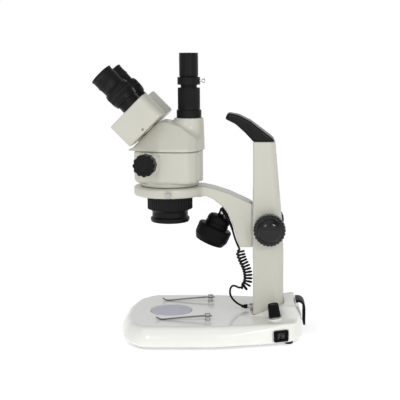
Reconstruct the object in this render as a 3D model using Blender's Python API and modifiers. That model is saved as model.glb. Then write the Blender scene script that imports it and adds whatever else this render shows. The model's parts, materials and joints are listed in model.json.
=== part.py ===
"""Trinocular zoom stereo microscope on a pillar stand with an illuminated base.

Frame: +Z up, the user sits at -X, the near side is -Y, the origin is on the
bench under the middle of the microscope.  Dimensions below are millimetres;
the helpers turn them into Blender's metres.

Three working frames keep the numbers short:
  stand  x counts from the pillar's front face (optical axis at x = -120)
  head   on the optical axis, turned with the head in its ring
  eye    one for each eyepiece, on the hinge of its prism box, z along the tube
"""
import math

import bmesh
import bpy
from mathutils import Matrix, Vector

MM = 0.001
GAP = 0.3                     # clearance between touching neighbours

# Stand
OPTIC_TO_PILLAR = 120.0       # optical axis to the pillar's front face
PILLAR_X = 73.4               # pillar's front face in the object's frame
FOOT_HEIGHT = 4.7
BASE_BOTTOM = 5.0
BASE_TOP = 33.0
BASE_HALF_WIDTH = 101.0
BASE_FRONT = -190.0
BASE_REAR = 70.0
BASE_WALL = 3.0
PILLAR_TOP = 283.0
STAGE_RADIUS = 30.0
CLIP_POST = (-64.4, 53.5)
DIMMER_AT = (31.0, -52.0)
DIMMER_LEAN = 8.0             # the dimmer leans towards the user, degrees
CHANNEL = (72.0, 268.0)       # bottom and top of the slot in the pillar
CHANNEL_DEPTH = 33.0
CHANNEL_HALF_WIDTH = 15.0
GUIDE_DEPTH = 14.0            # depth of the dovetail guide inside the slot

# Focus drive: a pinion on the knob shaft lifts a rack on the arm's slide
FOCUS_X = 23.4
FOCUS_Z = 160.4
GEAR_MODULE = 1.0
PINION_TEETH = 12
PINION_RADIUS = GEAR_MODULE * PINION_TEETH / 2
FOCUS_KNOB_RADIUS = 23.0

# Arm and lamp
RING_RADIUS = 51.5
RING_BORE = 38.4
RING_Z = (205.0, 219.2)
ARM_HALF_WIDTH = 20.0
LAMP_HINGE = (-44.5, 179.0)
LAMP_TILT = 24.0              # lamp axis from the vertical, degrees
LAMP_HINGE_HEIGHT = 48.0      # hinge above the lamp's rim

# Head
HEAD_TURN = -4.5              # the head stands a little turned in its ring, degrees
SEAM_Z = 270.0
COLUMN_X = 29.0               # camera tube axis behind the optical axis
COLUMN_TOP = 316.0
ZOOM_X = -25.5
ZOOM_Z = 253.5
HINGE_POINT = (-25.7, 299.8)  # prism box hinge on the inclined face
HINGE_HALF_SPACING = 13.5
BOX_THICKNESS = 38.5
EYE_OFFSET = (10.0, 19.0)     # eyepiece axis from the box hinge

# Lamp cord
CORD_RADIUS = 1.5
LEAD_Y = -9.5                 # the lead leaves its gland beside the lamp's hinge
COIL_RADIUS = 7.0
JACK_Z = 38.5

CREAM = ((0.56, 0.56, 0.48), 0.38, 0.0)
OFF_WHITE = ((0.74, 0.74, 0.69), 0.28, 0.0)
SATIN_BLACK = ((0.016, 0.016, 0.017), 0.42, 0.0)
GLOSS_BLACK = ((0.012, 0.012, 0.013), 0.16, 0.0)
RUBBER = ((0.02, 0.02, 0.02), 0.8, 0.0)
CORD_BLACK = ((0.015, 0.015, 0.016), 0.55, 0.0)
CHROME = ((0.78, 0.78, 0.77), 0.16, 1.0)
STEEL = ((0.55, 0.55, 0.54), 0.32, 1.0)
BRASS = ((0.7, 0.52, 0.22), 0.35, 1.0)
ALUMINIUM = ((0.62, 0.62, 0.62), 0.4, 1.0)
FROSTED = ((0.62, 0.66, 0.72), 0.5, 0.0)
GLASS = ((0.16, 0.2, 0.24), 0.05, 0.0)
CIRCUIT_GREEN = ((0.03, 0.16, 0.06), 0.5, 0.0)


# ---------------------------------------------------------------- helpers

def clear_scene():
    """Remove every object that the scene starts with."""
    for obj in list(bpy.data.objects):
        bpy.data.objects.remove(obj, do_unlink=True)


def new_collection(name):
    """A collection linked to the scene."""
    collection = bpy.data.collections.new(name)
    bpy.context.scene.collection.children.link(collection)
    return collection


def move_to(obj, collection):
    """Put an object in one collection only."""
    for other in list(obj.users_collection):
        other.objects.unlink(obj)
    collection.objects.link(obj)


def make_material(name, finish):
    """A Principled material from (colour, roughness, metallic)."""
    colour, roughness, metallic = finish
    material = bpy.data.materials.new(name)
    material.use_nodes = True
    shader = material.node_tree.nodes["Principled BSDF"]
    shader.inputs["Base Color"].default_value = (*colour, 1.0)
    shader.inputs["Roughness"].default_value = roughness
    shader.inputs["Metallic"].default_value = metallic
    return material


def scaled(*values):
    """Millimetres to metres."""
    return tuple(value * MM for value in values)


def place(obj, frame=None, at=(0, 0, 0), turn=(0, 0, 0)):
    """Set an object's place in its frame: millimetres and degrees."""
    obj.parent = frame
    obj.location = scaled(*at)
    obj.rotation_euler = [math.radians(angle) for angle in turn]
    return obj


def finish_part(obj, name, finish, frame=None, at=(0, 0, 0), turn=(0, 0, 0)):
    """Name, place and colour one sub-part."""
    obj.name = name
    obj.data.name = name
    place(obj, frame, at, turn)
    obj.data.materials.clear()
    obj.data.materials.append(make_material(name + "_finish", finish))
    move_to(obj, PARTS)
    return obj


def add_frame(name, frame=None, at=(0, 0, 0), turn=(0, 0, 0)):
    """An empty that carries a working frame."""
    empty = bpy.data.objects.new(name, None)
    PARTS.objects.link(empty)
    return place(empty, frame, at, turn)


def mesh_object(name, bm):
    """An object from a bmesh, in the scene's own collection for now."""
    mesh = bpy.data.meshes.new(name)
    bm.to_mesh(mesh)
    bm.free()
    obj = bpy.data.objects.new(name, mesh)
    bpy.context.scene.collection.objects.link(obj)
    return obj


def smooth(obj, angle=35.0):
    """Shade smooth, with edges sharper than the angle kept."""
    obj.data.shade_smooth()
    obj.data.set_sharp_from_angle(angle=math.radians(angle))


def cylinder(radius, length, segments=24):
    """A cylinder along z, centred on its origin."""
    bm = bmesh.new()
    bmesh.ops.create_cone(bm, cap_ends=True, segments=segments, radius1=radius * MM,
                          radius2=radius * MM, depth=length * MM)
    obj = mesh_object("cylinder", bm)
    smooth(obj)
    return obj


def box(size_x, size_y, size_z, bevel=0.0):
    """A box centred on its origin, with optional rounded edges."""
    bm = bmesh.new()
    bmesh.ops.create_cube(bm, size=1.0)
    bmesh.ops.scale(bm, vec=scaled(size_x, size_y, size_z), verts=bm.verts)
    obj = mesh_object("box", bm)
    if bevel:
        round_edges(obj, bevel)
    return obj


def round_edges(obj, width, segments=1, angle=40.0):
    """Bevel the edges sharper than the angle."""
    bevel = obj.modifiers.new("Bevel", "BEVEL")
    bevel.width = width * MM
    bevel.segments = segments
    bevel.limit_method = "ANGLE"
    bevel.angle_limit = math.radians(angle)


def turned(profile, steps=24, ring=False):
    """A body of revolution about z.

    The profile is a list of (radius, height) that runs down the outer side;
    a ring profile closes on itself, any other starts and ends on the axis.
    """
    bm = bmesh.new()
    points = [bm.verts.new(scaled(radius, 0, height)) for radius, height in profile]
    pairs = list(zip(points, points[1:]))
    if ring:
        pairs.append((points[-1], points[0]))
    for pair in pairs:
        bm.edges.new(pair)
    obj = mesh_object("turned", bm)
    screw = obj.modifiers.new("Screw", "SCREW")
    screw.axis = "Z"
    screw.steps = steps
    screw.render_steps = steps
    screw.use_merge_vertices = True
    screw.merge_threshold = 0.00001
    screw.use_smooth_shade = True
    return obj


def curve_to_mesh(curve_object):
    """Turn a curve object into a welded mesh object in the same place."""
    bpy.context.view_layer.update()
    depsgraph = bpy.context.evaluated_depsgraph_get()
    mesh = bpy.data.meshes.new_from_object(curve_object.evaluated_get(depsgraph))
    bm = bmesh.new()
    bm.from_mesh(mesh)
    bmesh.ops.remove_doubles(bm, verts=bm.verts, dist=0.000001)
    bmesh.ops.recalc_face_normals(bm, faces=bm.faces)
    bm.to_mesh(mesh)
    bm.free()
    obj = bpy.data.objects.new("outline", mesh)
    bpy.context.scene.collection.objects.link(obj)
    obj.matrix_world = curve_object.matrix_world
    bpy.data.objects.remove(curve_object, do_unlink=True)
    return obj


def slab(outlines, thickness):
    """A flat solid: closed outlines in the xy plane, thickness centred on z = 0."""
    curve = bpy.data.curves.new("outline", "CURVE")
    curve.dimensions = "2D"
    curve.fill_mode = "BOTH"
    curve.extrude = thickness / 2 * MM
    for outline in outlines:
        spline = curve.splines.new("POLY")
        spline.points.add(len(outline) - 1)
        for point, (x, y) in zip(spline.points, outline):
            point.co = (x * MM, y * MM, 0.0, 1.0)
        spline.use_cyclic_u = True
    curve_object = bpy.data.objects.new("outline", curve)
    bpy.context.scene.collection.objects.link(curve_object)
    obj = curve_to_mesh(curve_object)
    smooth(obj)
    return obj


def rounded(corners, steps=3):
    """An outline through (x, y, radius) corners, each radius drawn as an arc."""
    outline = []
    for index, (x, y, radius) in enumerate(corners):
        corner = Vector((x, y))
        if not radius:
            outline.append((x, y))
            continue
        before = (Vector(corners[index - 1][:2]) - corner).normalized()
        after = (Vector(corners[(index + 1) % len(corners)][:2]) - corner).normalized()
        half_angle = before.angle(after) / 2
        centre = corner + (before + after).normalized() * radius / math.sin(half_angle)
        start = corner + before * radius / math.tan(half_angle) - centre
        end = corner + after * radius / math.tan(half_angle) - centre
        sweep = math.atan2(start.x * end.y - start.y * end.x, start.dot(end))
        for step in range(steps + 1):
            spoke = Matrix.Rotation(sweep * step / steps, 2) @ start
            outline.append(tuple(centre + spoke))
    return outline


def mirrored_y(corners):
    """Complete a half outline, given for y > 0 from front to rear, across y = 0."""
    return corners + [(x, -y, radius) for x, y, radius in reversed(corners)]


def inset(outline, distance):
    """Move each point of a closed outline inwards along its normal."""
    moved = []
    area = sum(a[0] * b[1] - b[0] * a[1] for a, b in zip(outline, outline[1:] + outline[:1]))
    sign = 1.0 if area > 0 else -1.0
    for index, point in enumerate(outline):
        before = Vector(outline[index - 1])
        after = Vector(outline[(index + 1) % len(outline)])
        along = (after - before).normalized()
        moved.append((point[0] - along.y * distance * sign, point[1] + along.x * distance * sign))
    return moved


def loft(levels):
    """A closed solid through level outlines: a list of (outline, z) from the bottom up."""
    bm = bmesh.new()
    rings = [[bm.verts.new(scaled(x, y, z)) for x, y in outline] for outline, z in levels]
    count = len(rings[0])
    for lower, upper in zip(rings, rings[1:]):
        for index in range(count):
            following = (index + 1) % count
            bm.faces.new((lower[index], lower[following], upper[following], upper[index]))
    bm.faces.new(rings[0][::-1])
    bm.faces.new(rings[-1])
    bmesh.ops.recalc_face_normals(bm, faces=bm.faces)
    obj = mesh_object("loft", bm)
    smooth(obj)
    return obj


def hull(points):
    """The convex solid around a list of points."""
    bm = bmesh.new()
    verts = [bm.verts.new(scaled(*point)) for point in points]
    result = bmesh.ops.convex_hull(bm, input=verts)
    loose = {element for element in result["geom_interior"] if isinstance(element, bmesh.types.BMVert)}
    bmesh.ops.delete(bm, geom=list(loose), context="VERTS")
    bmesh.ops.recalc_face_normals(bm, faces=bm.faces)
    return mesh_object("hull", bm)


def combine(target, tool, operation):
    """Boolean a tool into a target; the tool becomes a hidden helper."""
    boolean = target.modifiers.new(operation.title(), "BOOLEAN")
    boolean.operation = operation
    boolean.solver = "EXACT"
    boolean.object = tool
    tool.hide_render = True
    tool.display_type = "WIRE"
    tool.name = "shape_for_" + target.name
    move_to(tool, CUTTERS)


def cut(target, tool):
    """Take the tool's shape out of the target."""
    combine(target, tool, "DIFFERENCE")


def join(target, tool):
    """Add the tool's shape to the target as one solid."""
    combine(target, tool, "UNION")


def smooth_path(points, steps):
    """Points along a smooth curve (Catmull-Rom) through the given points."""
    ends = [2 * Vector(points[0]) - Vector(points[1])] + [Vector(point) for point in points]
    ends.append(2 * ends[-1] - ends[-2])
    path = []
    for a, b, c, d in zip(ends, ends[1:], ends[2:], ends[3:]):
        for step in range(steps):
            t = step / steps
            path.append(0.5 * (2 * b + (c - a) * t + (2 * a - 5 * b + 4 * c - d) * t * t
                               + (3 * b - a - 3 * c + d) * t ** 3))
    path.append(Vector(points[-1]))
    return path


def tube(path, radius):
    """A round cord along a path, with closed ends."""
    curve = bpy.data.curves.new("cord", "CURVE")
    curve.dimensions = "3D"
    curve.bevel_depth = radius * MM
    curve.bevel_resolution = 2
    curve.use_fill_caps = True
    spline = curve.splines.new("POLY")
    spline.points.add(len(path) - 1)
    for point, place_on_path in zip(spline.points, path):
        point.co = (*(place_on_path * MM), 1.0)
    obj = bpy.data.objects.new("cord", curve)
    bpy.context.scene.collection.objects.link(obj)
    return curve_to_mesh(obj)


def fluted_outline(radius, depth, flutes, points_per_flute=4):
    """A round outline with shallow scallops cut around it."""
    count = flutes * points_per_flute
    outline = []
    for index in range(count):
        angle = 2 * math.pi * index / count
        r = radius - depth * (0.5 - 0.5 * math.cos(flutes * angle))
        outline.append((r * math.cos(angle), r * math.sin(angle)))
    return outline


def circle_outline(radius, count=24):
    """A round outline."""
    return [(radius * math.cos(2 * math.pi * i / count), radius * math.sin(2 * math.pi * i / count))
            for i in range(count)]


SIDES = (("near", -1), ("far", 1))
OUTWARD = {"near": (90, 0, 0), "far": (-90, 0, 0)}      # turns +z to point out sideways


# ------------------------------------------------------------------ base

def base_outline(distance=0.0):
    """Plan of the base: bowed front, straight sides, flanks drawn in to the rear."""
    bow_sag = 9.0
    half = [(BASE_FRONT, 25, 60), (BASE_FRONT + bow_sag, 72, 40), (BASE_FRONT + 33, BASE_HALF_WIDTH, 30),
            (-54, BASE_HALF_WIDTH, 60), (20, 85.5, 60), (57, 72, 18), (BASE_REAR, 52, 16)]
    return inset(rounded(mirrored_y(half), 3), distance)


def build_base():
    """The base casting with its stage well, rear hump and pockets, and its bottom plate."""
    section = [(4.5, BASE_BOTTOM), (0.0, 12), (2.5, 22), (7.5, 30), (11.5, BASE_TOP)]
    base = loft([(base_outline(distance), z) for distance, z in section])
    finish_part(base, "base_casting", OFF_WHITE, STAND)

    hump = hull([(x, sign * y, z) for sign in (-1, 1) for x, y, z in
                 ((-6, 26, 31), (38, 39, 31), (58, 52, 31), (66.5, 46, 31), (67, 42, 40), (60, 33, 50),
                  (45, 33, 50))])
    place(hump, STAND)
    join(base, hump)
    boss = cylinder(10.5, 8, 24)
    place(boss, STAND, (*DIMMER_AT, 31.5), (0, -DIMMER_LEAN, 0))
    join(base, boss)

    inside = [(4.5 + BASE_WALL, 3.0), (BASE_WALL, 12), (6.0, 22), (14.5, 29.5)]
    hollow = loft([(base_outline(distance), z) for distance, z in inside])
    place(hollow, STAND)
    cut(base, hollow)
    for radius, low, high in ((27.0, 20.0, 40.0), (STAGE_RADIUS + GAP, 30.0, 40.0)):
        well = cylinder(radius, high - low, 32)
        place(well, STAND, (-OPTIC_TO_PILLAR, 0, (low + high) / 2))
        cut(base, well)
    pocket = pillar_solid(GAP, BASE_TOP, 60.0)
    place(pocket, STAND)
    cut(base, pocket)
    for x, y, z, turn, size in ((39.3, -79.5, 16, 20.2, (24, 6, 17)), (38.7, -76, 16, 20.2, (18.4, 14, 13)),
                                (68, 36, 15.5, 0, (14, 21, 12.6))):
        recess = box(*size)
        place(recess, STAND, (x, y, z), (0, 0, turn))
        cut(base, recess)
    for side, sign in SIDES:
        hole = cylinder(1.8, 12, 12)
        place(hole, STAND, (CLIP_POST[0], sign * CLIP_POST[1], BASE_TOP))
        cut(base, hole)

    plate = slab([base_outline(4.5 + BASE_WALL + GAP)], 2.0)
    finish_part(plate, "bottom_plate", STEEL, STAND, (0, 0, BASE_BOTTOM + 1.0))
    for side, sign in SIDES:
        for end, x, y in (("front", -155, 72), ("rear", 50.5, 58)):
            foot = turned([(0, FOOT_HEIGHT), (6.5, FOOT_HEIGHT), (6.0, 1.0), (5.0, 0), (0, 0)], 20)
            finish_part(foot, f"foot_{end}_{side}", RUBBER, STAND, (x, sign * y, 0))


def build_base_fittings():
    """What sits in and on the base: stage plate, lamp, driver, switch, dimmer, inlet and hook."""
    plate = turned([(0, 33.2), (STAGE_RADIUS - 0.5, 33.2), (STAGE_RADIUS, 32.7), (STAGE_RADIUS, 30.3),
                    (0, 30.3)], 32)
    finish_part(plate, "stage_plate", FROSTED, STAND, (-OPTIC_TO_PILLAR, 0, 0))
    lamp = turned([(0, 14), (16, 14), (22, 20), (23, 20), (23, 12), (18, 7.3), (0, 7.3)], 24)
    finish_part(lamp, "stage_lamp", ALUMINIUM, STAND, (-OPTIC_TO_PILLAR, 0, 0))
    board = box(64, 40, 1.6)
    finish_part(board, "driver_board", CIRCUIT_GREEN, STAND, (-20, 15, 11))
    for x, y, size in ((-14, 6, (18, 14, 11)), (12, -6, (16, 20, 9)), (22, 12, (8, 8, 7))):
        component = box(*size)
        place(component, STAND, (x - 20, y + 15, 11 + size[2] / 2))
        join(board, component)

    bezel = slab([rounded([(-10.5, -8, 1.5), (10.5, -8, 1.5), (10.5, 8, 1.5), (-10.5, 8, 1.5)], 2),
                  [(-7.2, -5), (7.2, -5), (7.2, 5), (-7.2, 5)]], 11)
    switch_frame = add_frame("switch_frame", STAND, (39.0, -77.5, 16), (90, 0, 20.2))
    finish_part(bezel, "switch_bezel", SATIN_BLACK, switch_frame, (0, 0, -3.0))
    trim = box(30, 30, 12)
    place(trim, switch_frame, (0, 0, -6.9))
    cut(bezel, trim)
    neck = slab([[(-8.6, -6.1), (8.6, -6.1), (8.6, 6.1), (-8.6, 6.1)],
                 [(-7.2, -5), (7.2, -5), (7.2, 5), (-7.2, 5)]], 8)
    place(neck, switch_frame, (0, 0, -3.6))
    join(bezel, neck)
    rocker = slab([[(-6.2, -4.0), (6.2, -4.0), (6.2, 1.3), (0, -0.2), (-6.2, 3.0)]], 9.2)
    finish_part(rocker, "switch_rocker", GLOSS_BLACK, switch_frame, (0, 0, 0.0), (90, 0, 0))

    dimmer_frame = add_frame("dimmer_frame", STAND, (*DIMMER_AT, 36.2), (0, -DIMMER_LEAN, 0))
    collar = turned([(9.0, 1.6), (9.6, 0.8), (9.6, 0.3), (3.2, 0.3), (3.2, 1.6)], 24, ring=True)
    finish_part(collar, "dimmer_collar", CHROME, dimmer_frame)
    knob = slab([fluted_outline(8.2, 0.5, 14, 2)], 17.5)
    round_edges(knob, 0.8, 1, 60)
    finish_part(knob, "dimmer_knob", SATIN_BLACK, dimmer_frame, (0, 0, 2.2 + 17.5 / 2))

    inlet = box(12, 20, 12)
    finish_part(inlet, "power_inlet", SATIN_BLACK, STAND, (65.4, 36, 15.5))
    socket = box(9, 15, 8)
    place(socket, STAND, (68.4, 36, 15.5))
    cut(inlet, socket)
    hook = slab([rounded([(70.6, 15, 1), (76.5, 15, 2), (76.5, 43, 5), (70.5, 51, 3), (67.0, 51, 1),
                          (67.8, 46, 1), (70.6, 41, 2)], 3)], 34)
    round_edges(hook, 0.8, 1, 60)
    finish_part(hook, "cord_hook", SATIN_BLACK, STAND, (0, 0, 0), (90, 0, 0))

    jack = turned([(0, 8), (2.6, 8), (2.6, 5), (4.2, 5), (4.2, 0), (0, 0)], 12)
    finish_part(jack, "lamp_jack", CHROME, STAND, (-GAP, 0, JACK_Z), (0, -90, 0))


def build_clips():
    """Two spring clips on posts; each swings about its post to hold a slide."""
    x, y = CLIP_POST
    for side, sign in SIDES:
        post = turned([(0, 43), (3.8, 42.6), (3.8, 40.0), (1.5, 40.0), (1.5, 37.6), (3.6, 37.6),
                       (3.6, BASE_TOP + GAP), (1.5, BASE_TOP + GAP), (1.5, 29), (0, 29)], 12)
        finish_part(post, f"clip_post_{side}", CHROME, STAND, (x, sign * y, 0))
        profile = ((6, 38.8), (0, 38.8), (-9, 38.8), (-35, 36.6), (-60, 34.3), (-66, 34.2), (-73, 37.2))
        widths = (3.6, 3.8, 3.4, 3.0, 2.8, 2.8, 3.0)
        bm = bmesh.new()
        rows = [[bm.verts.new(scaled(px, half, pz)) for half in (-width, width)]
                for (px, pz), width in zip(profile, widths)]
        for first, second in zip(rows, rows[1:]):
            bm.faces.new((first[0], first[1], second[1], second[0]))
        leaf = mesh_object("leaf", bm)
        sheet = leaf.modifiers.new("Solidify", "SOLIDIFY")
        sheet.thickness = 0.8 * MM
        sheet.offset = 0.0
        finish_part(leaf, f"stage_clip_{side}", CHROME, STAND, (x, sign * y, 0))
        hole = cylinder(1.9, 8, 12)
        place(hole, STAND, (x, sign * y, 38.8))
        cut(leaf, hole)


# ---------------------------------------------------------------- pillar

def pillar_section(rear, half_width, grow):
    """Plan of the pillar: a flat front, rounded rear corners."""
    return rounded([(-grow, -half_width - grow, 3), (rear + grow, -half_width - grow, 13),
                    (rear + grow, half_width + grow, 13), (-grow, half_width + grow, 3)], 4)


def pillar_solid(grow, bottom, top):
    """The tapering pillar between two heights."""
    sizes = ((0.0, 44.0, 29.0), (127.0, 44.0, 28.5), (185.0, 40.5, 27.5), (PILLAR_TOP, 32.0, 25.5))

    def size_at(z):
        for (low, rear_a, half_a), (high, rear_b, half_b) in zip(sizes, sizes[1:]):
            if z <= high:
                part = (z - low) / (high - low)
                return rear_a + (rear_b - rear_a) * part, half_a + (half_b - half_a) * part
        return sizes[-1][1:]

    heights = [bottom] + [z for z, _, _ in sizes if bottom < z < top] + [top]
    return loft([(pillar_section(*size_at(z), grow), z) for z in heights])


def build_pillar():
    """The pillar with its slot, the dovetail rails in it and the carrying handle."""
    pillar = pillar_solid(0.0, BASE_TOP + GAP, PILLAR_TOP)
    finish_part(pillar, "pillar", CREAM, STAND)
    slot = box(CHANNEL_DEPTH + 2, 2 * CHANNEL_HALF_WIDTH, CHANNEL[1] - CHANNEL[0])
    place(slot, STAND, (CHANNEL_DEPTH / 2 - 1, 0, sum(CHANNEL) / 2))
    cut(pillar, slot)
    boss = cylinder(13.0, 14, 24)
    place(boss, STAND, (FOCUS_X, 31, FOCUS_Z), (90, 0, 0))
    join(pillar, boss)
    bore = cylinder(4.3, 90, 20)
    place(bore, STAND, (FOCUS_X, 0, FOCUS_Z), (90, 0, 0))
    cut(pillar, bore)

    edge = CHANNEL_HALF_WIDTH - GAP
    middle = sum(CHANNEL) / 2
    guide = box(GUIDE_DEPTH - 9.0, 2 * edge, 10)
    finish_part(guide, "dovetail_guide", ALUMINIUM, STAND, ((GUIDE_DEPTH + 9.0) / 2, 0, 262))
    for side, sign in SIDES:
        rail = slab([[(GAP, sign * edge), (GAP, sign * 7.2), (8.0, sign * 10.5), (GUIDE_DEPTH, sign * 10.5),
                      (GUIDE_DEPTH, sign * edge)]], CHANNEL[1] - CHANNEL[0] - 2 * GAP)
        place(rail, STAND, (0, 0, middle))
        join(guide, rail)

    grip = slab([rounded([(0, 283.3, 1), (-11, 295, 30), (-25, 307.5, 30), (-40, 314.5, 2), (-35.5, 323.5, 4),
                          (-19, 320, 30), (-3, 311.5, 30), (14, 298.5, 30), (27, 288.5, 6), (32, 283.3, 1)],
                         3)], 56)
    finish_part(grip, "carry_handle", SATIN_BLACK, STAND, (0, 0, 0), (90, 0, 0))
    plan = slab([rounded([(-60, -11, 1), (-39, -14, 9), (-8, -21, 30), (10, -25.5, 20), (33, -25.5, 10),
                          (33, 25.5, 10), (10, 25.5, 20), (-8, 21, 30), (-39, 14, 9), (-60, 11, 1)], 3)], 90)
    place(plan, STAND, (0, 0, 300))
    combine(grip, plan, "INTERSECT")


# ----------------------------------------------------------- focus drive

def gear_outline(teeth, pitch_radius, tip, root, thickness):
    """A gear outline with straight-flanked teeth; one tooth points to -x."""
    outline = []
    for tooth in range(teeth):
        middle = math.pi + 2 * math.pi * tooth / teeth
        for radius, share in ((root, -0.95), (tip, -0.45), (tip, 0.45), (root, 0.95)):
            angle = middle + share * thickness / pitch_radius
            outline.append((radius * math.cos(angle), radius * math.sin(angle)))
    return outline


def build_focus():
    """The shaft, pinion, two knobs and the tension collar."""
    drive = add_frame("focus_frame", STAND, (FOCUS_X, 0, FOCUS_Z))
    shaft = cylinder(4.0, 2 * 52, 24)
    finish_part(shaft, "focus_shaft", STEEL, drive, (0, 0, 0), (90, 0, 0))
    relief = slab([circle_outline(12, 24), circle_outline(2.4, 24)], 10)
    place(relief, drive, (0, 0, 0), (90, 0, 0))
    cut(shaft, relief)
    pitch_tooth = math.pi * GEAR_MODULE * 0.38
    pinion = slab([gear_outline(PINION_TEETH, PINION_RADIUS, PINION_RADIUS + 0.9, PINION_RADIUS - 1.2,
                                pitch_tooth), circle_outline(2.7, 16)], 9)
    finish_part(pinion, "focus_pinion", BRASS, drive, (0, 0, 0), (90, 0, 0))

    radius = FOCUS_KNOB_RADIUS
    for side, sign in SIDES:
        knob = turned([(0, 60), (10, 59.3), (17, 57), (20.5, 52), (radius, 50.5), (radius, 39),
                       (22, 38.3), (4.3, 38.3), (4.3, 52.5), (0, 52.5)], 28)
        finish_part(knob, f"focus_knob_{side}", GLOSS_BLACK, drive, (0, 0, 0), OUTWARD[side])
    collar = slab([fluted_outline(20.5, 0.6, 18, 2), circle_outline(4.4, 16)], 7)
    finish_part(collar, "tension_collar", SATIN_BLACK, drive, (0, -34, 0), (90, 0, 0))


# -------------------------------------------------------------------- arm

def build_arm():
    """The ring and curved arm casting, its slide and rack, and the ring's clamp screw."""
    side_view = rounded([(-100, 206.5, 0), (-100, 218.5, 0), (-75, 219.0, 20), (-61, 217.7, 60),
                         (-34, 209, 60), (-6, 196, 40), (-0.7, 192.5, 1), (-0.7, 130.5, 1), (-19.5, 130.5, 4),
                         (-23.5, 143, 40), (-28, 160.5, 60), (-34.5, 176.7, 60), (-42, 188.5, 40),
                         (-56.7, 200.5, 25), (-70, 206.5, 15)], 3)
    arm = slab([side_view], 2 * ARM_HALF_WIDTH)
    finish_part(arm, "arm_casting", CREAM, STAND, (0, 0, 0), (90, 0, 0))
    low, high = RING_Z
    ring = turned([(0, high), (RING_RADIUS - 2.5, high), (RING_RADIUS, high - 3), (RING_RADIUS, low + 4.5),
                   (RING_RADIUS - 5, low), (0, low)], 40)
    place(ring, STAND, (-OPTIC_TO_PILLAR, 0, 0))
    join(arm, ring)
    bore = cylinder(RING_BORE, 40, 40)
    place(bore, STAND, (-OPTIC_TO_PILLAR, 0, 212))
    cut(arm, bore)
    screw_boss = cylinder(5.0, 8, 20)
    place(screw_boss, STAND, (-OPTIC_TO_PILLAR + 2, -49.5, 212), (90, 0, 0))
    join(arm, screw_boss)
    screw_hole = cylinder(2.3, 40, 16)
    place(screw_hole, STAND, (-OPTIC_TO_PILLAR + 2, -55, 212), (90, 0, 0))
    cut(arm, screw_hole)
    screw = turned([(0, 57.5), (3.5, 57.2), (3.5, 53.9), (2.0, 53.9), (2.0, 38.9), (0, 38.9)], 12)
    finish_part(screw, "head_clamp_screw", CHROME, STAND, (-OPTIC_TO_PILLAR + 2, 0, 212), (90, 0, 0))

    slide = slab([[(-0.4, -6.9), (-0.4, 6.9), (0.3, 6.9), (8.3, 10.2), (13.0, 10.2), (13.0, -10.2),
                   (8.3, -10.2), (0.3, -6.9)]], 100)
    finish_part(slide, "arm_slide", ALUMINIUM, STAND, (0, 0, 162))
    pitch_x = FOCUS_X - PINION_RADIUS
    pitch = math.pi * GEAR_MODULE
    root, tip, back = pitch_x - 1.2, pitch_x + 0.9, 13.3
    half_tooth = pitch * 0.38 / 2
    teeth = [(back, -0.5 * pitch * 30), (root, -0.5 * pitch * 30)]
    for tooth in range(30):
        middle = (tooth - 14.5) * pitch
        teeth += [(root, middle - 1.6 * half_tooth), (tip, middle - 0.5 * half_tooth),
                  (tip, middle + 0.5 * half_tooth), (root, middle + 1.6 * half_tooth)]
    teeth += [(root, 0.5 * pitch * 30), (back, 0.5 * pitch * 30)]
    rack = slab([teeth], 8)
    finish_part(rack, "focus_rack", BRASS, STAND, (0, 0, FOCUS_Z), (90, 0, 0))


def build_lamp():
    """The incident lamp on its hinge bracket under the arm."""
    hinge_x, hinge_z = LAMP_HINGE
    bracket = box(15, 15.4, 1.6)
    finish_part(bracket, "lamp_bracket", SATIN_BLACK, STAND, (-40.1, 0, 181.5), (0, 57.5, 0))
    for sign in (-1, 1):
        ear = slab([rounded([(hinge_x - 4, hinge_z - 2, 3), (hinge_x - 1.5, hinge_z - 4.2, 3),
                             (-36.9, 176.5, 0.4), (-43.2, 186.4, 0.4), (hinge_x - 4, hinge_z + 4, 3)])], 2.6)
        place(ear, STAND, (0, sign * 5.6, 0), (90, 0, 0))
        join(bracket, ear)
    gland = cylinder(2.5, 8.2, 12)
    place(gland, STAND, (-40.5, LEAD_Y, 178.9), (0, 147.5, 0))
    join(bracket, gland)
    pin = turned([(0, 8.4), (2.6, 8.0), (2.9, 6.8), (1.5, 6.8), (1.5, -6.8), (2.9, -6.8), (2.6, -8.0),
                  (0, -8.4)], 12)
    place(pin, STAND, (hinge_x, 0, hinge_z), (90, 0, 0))
    join(bracket, pin)

    tilt = add_frame("lamp_frame", STAND, (hinge_x, 0, hinge_z), (0, LAMP_TILT, 0))
    drop = -LAMP_HINGE_HEIGHT
    housing = turned([(7, 42.5), (9.5, 42), (16, 36.5), (17.2, 25.5), (23.5, 25), (25, 23),
                      (24.6, 8), (20.5, 0), (18.6, 0), (18.6, 6), (15, 34), (7, 38)], 28, ring=True)
    finish_part(housing, "lamp_housing", SATIN_BLACK, tilt, (0, 0, drop))
    cap = turned([(0, 43), (7.4, 42.4), (7.4, 36), (0, 36)], 20)
    place(cap, tilt, (0, 0, drop))
    join(housing, cap)
    lug = slab([rounded([(-5, 40, 1), (5, 40, 1), (4, 52, 3.8), (-4, 52, 3.8)], 3)], 7.6)
    place(lug, tilt, (0, 0, drop), (90, 0, 0))
    join(housing, lug)
    lug_hole = cylinder(1.8, 30, 16)
    place(lug_hole, tilt, (0, 0, 0), (90, 0, 0))
    cut(housing, lug_hole)
    lens = turned([(0, 5.2), (18.2, 4.6), (18.2, 2.0), (0, 0.6)], 28)
    finish_part(lens, "lamp_lens", FROSTED, tilt, (0, 0, drop))


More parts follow.
